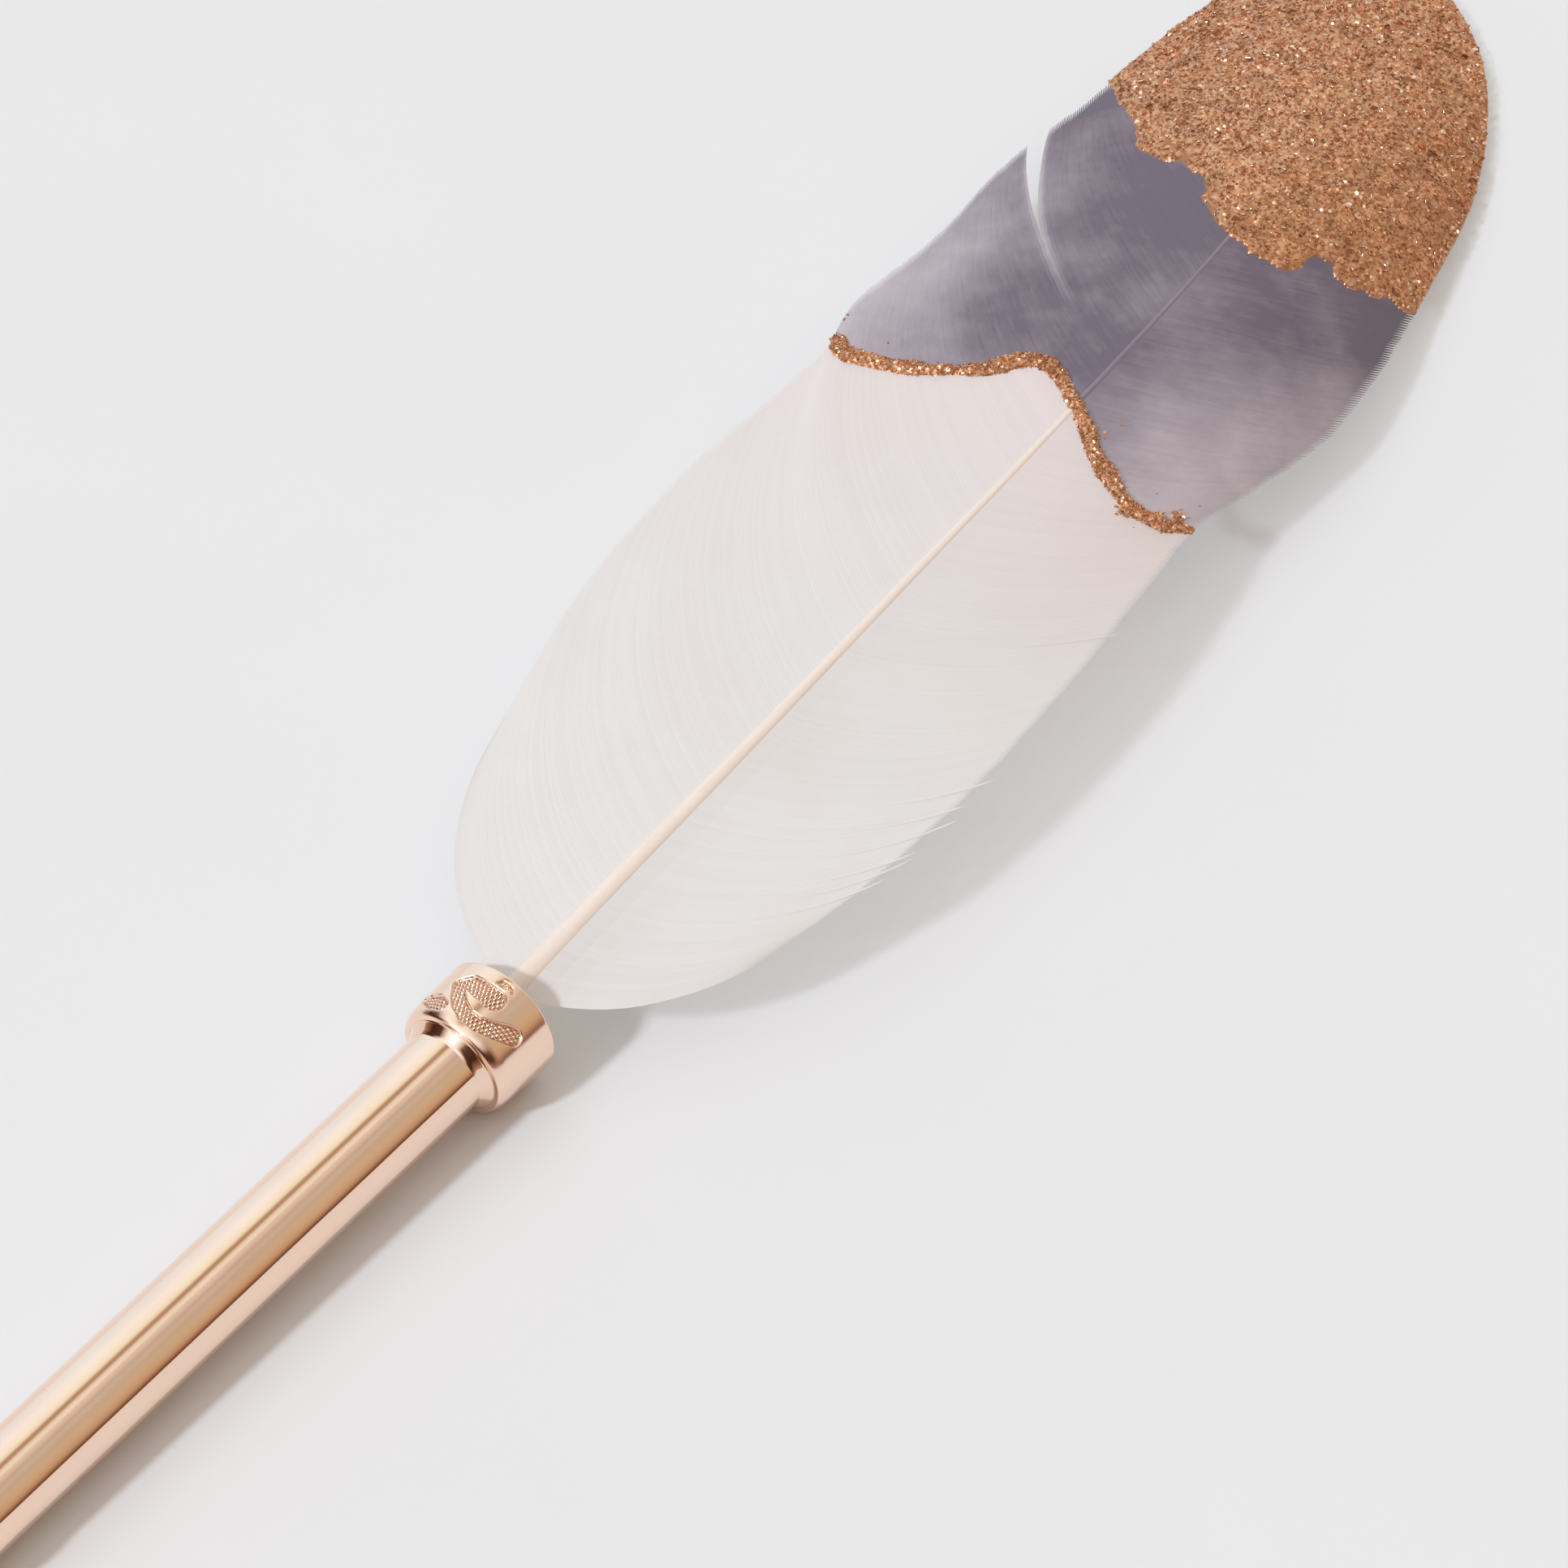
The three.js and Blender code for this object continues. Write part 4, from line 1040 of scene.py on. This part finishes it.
def heights_along(path_points):
    """The feather's height under points given in plan: that of the nearest point of its surface,
    evened out along the line."""
    ground, _ = feather_top(0.2, 0.75, 240, 90)
    flat = ground.reshape(-1, 3)
    nearest = ((path_points[:, None, :2] - flat[None, :, :2]) ** 2).sum(-1).argmin(1)
    height = flat[nearest, 2]
    kernel = np.hanning(SPAN) / np.hanning(SPAN).sum()
    return np.convolve(np.pad(height, SPAN // 2, mode="edge"), kernel, mode="valid")


def glitter_line():
    """The bead of glue and glitter along the dye's edge: a lying half-round section whose width and
    height swell and shrink by noise, carried along the path, with both ends closed."""
    rows, columns = 460, 26
    share = np.linspace(0, 1, rows)
    centre = GLITTER_PATH.at(share)
    centre[:, 2] = heights_along(centre)
    run = share * GLITTER_PATH.length
    side = unit(np.cross(LEVEL, unit(np.gradient(centre, axis=0))))
    ends = rise(run, -0.3, 0.9) * rise(GLITTER_PATH.length - run, -0.3, 0.9)
    half = (0.78 + 0.22 * drift(run, 0, 2.6, 71) + 0.14 * drift(run, 0, 0.9, 72)) * ends
    tall = (0.55 + 0.12 * drift(run, 0, 1.4, 73)) * ends
    centre = centre + side * (0.2 * drift(run, 0, 3.1, 74))[:, None]
    angle = round_turn(columns)[None]
    lump = 1 + 0.16 * drift(run[:, None], 2.0 * np.sin(angle) + 9, 0.4, 75)
    across = half[:, None] * np.cos(angle) * lump
    up = np.where(np.sin(angle) > 0, tall[:, None] * np.sin(angle) * lump, 0.12 * np.sin(angle))
    grid = centre[:, None] + side[:, None] * across[..., None] + LEVEL * up[..., None]
    bead = smooth(solid("glitter_line_bead", *capped(grid)))
    seated(bead, "upper_half", CRUST, "glitter", "glitter_line")
    return grid[:, : columns // 2 + 1], centre


bead_top, bead_middle = glitter_line()
loose_on("glitter_line_specks", bead_top, np.ones(bead_top.shape[:2]), 2600, (0.1, 0.2), 81)
CLUMP = 70  # specks in each clump
CLUMPS = ((0.97, (-0.9, 0.9, 0)), (0.93, (-0.5, 0.3, 0)), (0.88, (-0.6, -0.7, 0)))


def stray_specks(number=90):
    """Specks that fell beside the line: a third near each of two places on it and a third anywhere
    along it, and three small clumps heaped near its right end."""
    dice = np.random.default_rng(91)
    third = number // 3
    share = np.concatenate([dice.normal(0.70, 0.015, third), dice.normal(0.9, 0.02, third),
                            dice.uniform(0, 1, number - 2 * third)])
    k = (np.clip(share, 0, 1) * (len(bead_middle) - 1)).astype(int)
    centres = bead_middle[k] + dice.normal(0, 1, (number, 3)) * [0.9, 1.1, 0]
    ends = [bead_middle[int(at * len(bead_middle))] + aside for at, aside in CLUMPS]
    clumps = np.repeat(ends, CLUMP, 0) + dice.normal(0, 1, (CLUMP * len(ends), 3)) * [0.38, 0.38, 0]
    centres = np.concatenate([centres, clumps])
    centres[:, 2] = heights_along(centres) + 0.07
    centres[number:, 2] += dice.uniform(0, 0.3, len(clumps))
    up = np.broadcast_to(LEVEL, (len(centres), 3))
    specks("glitter_stray_specks", centres, up, dice.uniform(0.1, 0.2, len(centres)), 92, 0.3)


stray_specks()

# ---- Table, light and camera ----
made, tree, shader = material("table_top_lacquered")
mottle = noise(tree, here(tree), 30.0)
feed(tree, shader, Base_Color=tones(tree, mottle, "E8E8E8", "E9E9E9"), Roughness=0.6, IOR=1.45,
     Specular_IOR_Level=0.2)
HALF = 2.5
floor_mesh = bpy.data.meshes.new("table_top")
floor_mesh.from_pydata([(-HALF, -HALF, 0), (HALF, -HALF, 0), (HALF, HALF, 0), (-HALF, HALF, 0)], [],
                       [(0, 1, 2, 3)])
floor_mesh.materials.append(made)
put("table_top", floor_mesh)

# The room, by the turn of a direction about the pen: a bright wall on the left, a window bar, warm
# timber on the right that darkens to the table's far edge.
ROOM = [(-90, (0.84, 0.92, 0.98)), (-65, (0.9, 1.0, 1.1)), (-48, (0.98, 1.06, 1.14)),
        (-34, (0.97, 1.03, 0.98)), (-25, (0.94, 0.97, 0.86)), (-19, (0.82, 0.82, 0.68)),
        (-14, (0.5, 0.34, 0.23)), (-8, (0.46, 0.32, 0.21)), (-3, (0.78, 0.74, 0.64)),
        (4, (0.9, 0.89, 0.8)), (10, (0.74, 0.68, 0.6)), (17, (0.67, 0.6, 0.53)), (23, (0.56, 0.48, 0.4)),
        (31, (0.61, 0.54, 0.45)), (41, (0.56, 0.48, 0.385)), (53, (0.6, 0.49, 0.365)),
        (65, (0.6, 0.455, 0.3)), (75, (0.53, 0.36, 0.22)), (82, (0.36, 0.2, 0.12)),
        (87, (0.16, 0.07, 0.04))]
world = bpy.data.worlds.new("studio")
bpy.context.scene.world = world
world.use_nodes = True
tree = world.node_tree
tree.nodes.clear()
way = node(tree, "SeparateXYZ", {"Vector": node(tree, "TexCoord").outputs["Generated"]}).outputs
turned_way = node(tree, "CombineXYZ", {"X": way["Z"], "Y": way["X"]}).outputs[0]
dial = node(tree, "TexGradient", {"Vector": turned_way}, gradient_type="RADIAL").outputs["Fac"]
room = ramp(tree, dial, [(0.5 + angle / 360, (*shade, 1)) for angle, shade in ROOM])
even = blend(tree, remap(tree, way["Y"], 0.1, -0.4), room, (1.13, 1.13, 1.14, 1))
# The dim ends of the room, low on both sides and towards the pen's writing end.
sideways = maths(tree, "ABSOLUTE", maths(tree, "ADD", way["X"], 0.2))
at_side = remap(tree, sideways, 0.16, 0.4)
in_front = remap(tree, way["Y"], 0.25, 0.0)
low_down = remap(tree, way["Z"], 0.8, 0.55)
dim = maths(tree, "MULTIPLY", maths(tree, "MULTIPLY", at_side, in_front), low_down)
dusk = ramp(tree, way["Z"], [
    (0.0, (0.5, 0.34, 0.25, 1)), (0.1, (0.3, 0.15, 0.09, 1)), (0.28, (0.05, 0.02, 0.015, 1)),
    (0.5, (0.1, 0.045, 0.03, 1)), (0.65, (0.34, 0.2, 0.13, 1)),
])
seen = node(tree, "LightPath").outputs["Is Camera Ray"]
backdrop = blend(tree, seen, blend(tree, dim, even, dusk), colour("EBEBEB"))
light = node(tree, "Background", {"Color": backdrop, "Strength": 1.0}).outputs[0]
node(tree, "OutputWorld", {"Surface": light})

key = bpy.data.lights.new("window_light", "SUN")
key.energy = 1.8
key.angle = math.radians(5.5)
key.color = (0.79, 0.86, 1.0)
key_way = Vector((-0.25, -1.15, 1.0))
put("window_light", key).rotation_euler = key_way.to_track_quat("Z", "Y").to_euler()

AZIMUTH, ELEVATION = math.radians(38.86), math.radians(48.39)
DISTANCE = 0.8
AIM_RIGHT, AIM_UP = 0.02998, 0.02525  # from the collar's front
level = math.cos(ELEVATION)
back = np.array([math.sin(AZIMUTH) * level, -math.cos(AZIMUTH) * level, math.sin(ELEVATION)])
right = np.array([math.cos(AZIMUTH), math.sin(AZIMUTH), 0.0])
up = np.cross(back, right)
aim = COLLAR_FRONT + right * AIM_RIGHT + up * AIM_UP
camera_data = bpy.data.cameras.new("camera")
camera_data.lens = 203.74
camera_data.sensor_width = 36.0
camera_data.clip_end = 20.0
camera = put("camera", camera_data)
camera.matrix_world = Matrix([[*(axis[i] for axis in (right, up, back)), (aim + back * DISTANCE)[i]]
                              for i in range(3)] + [[0, 0, 0, 1]])
bpy.context.scene.camera = camera
bpy.context.scene.view_settings.view_transform = "Standard"
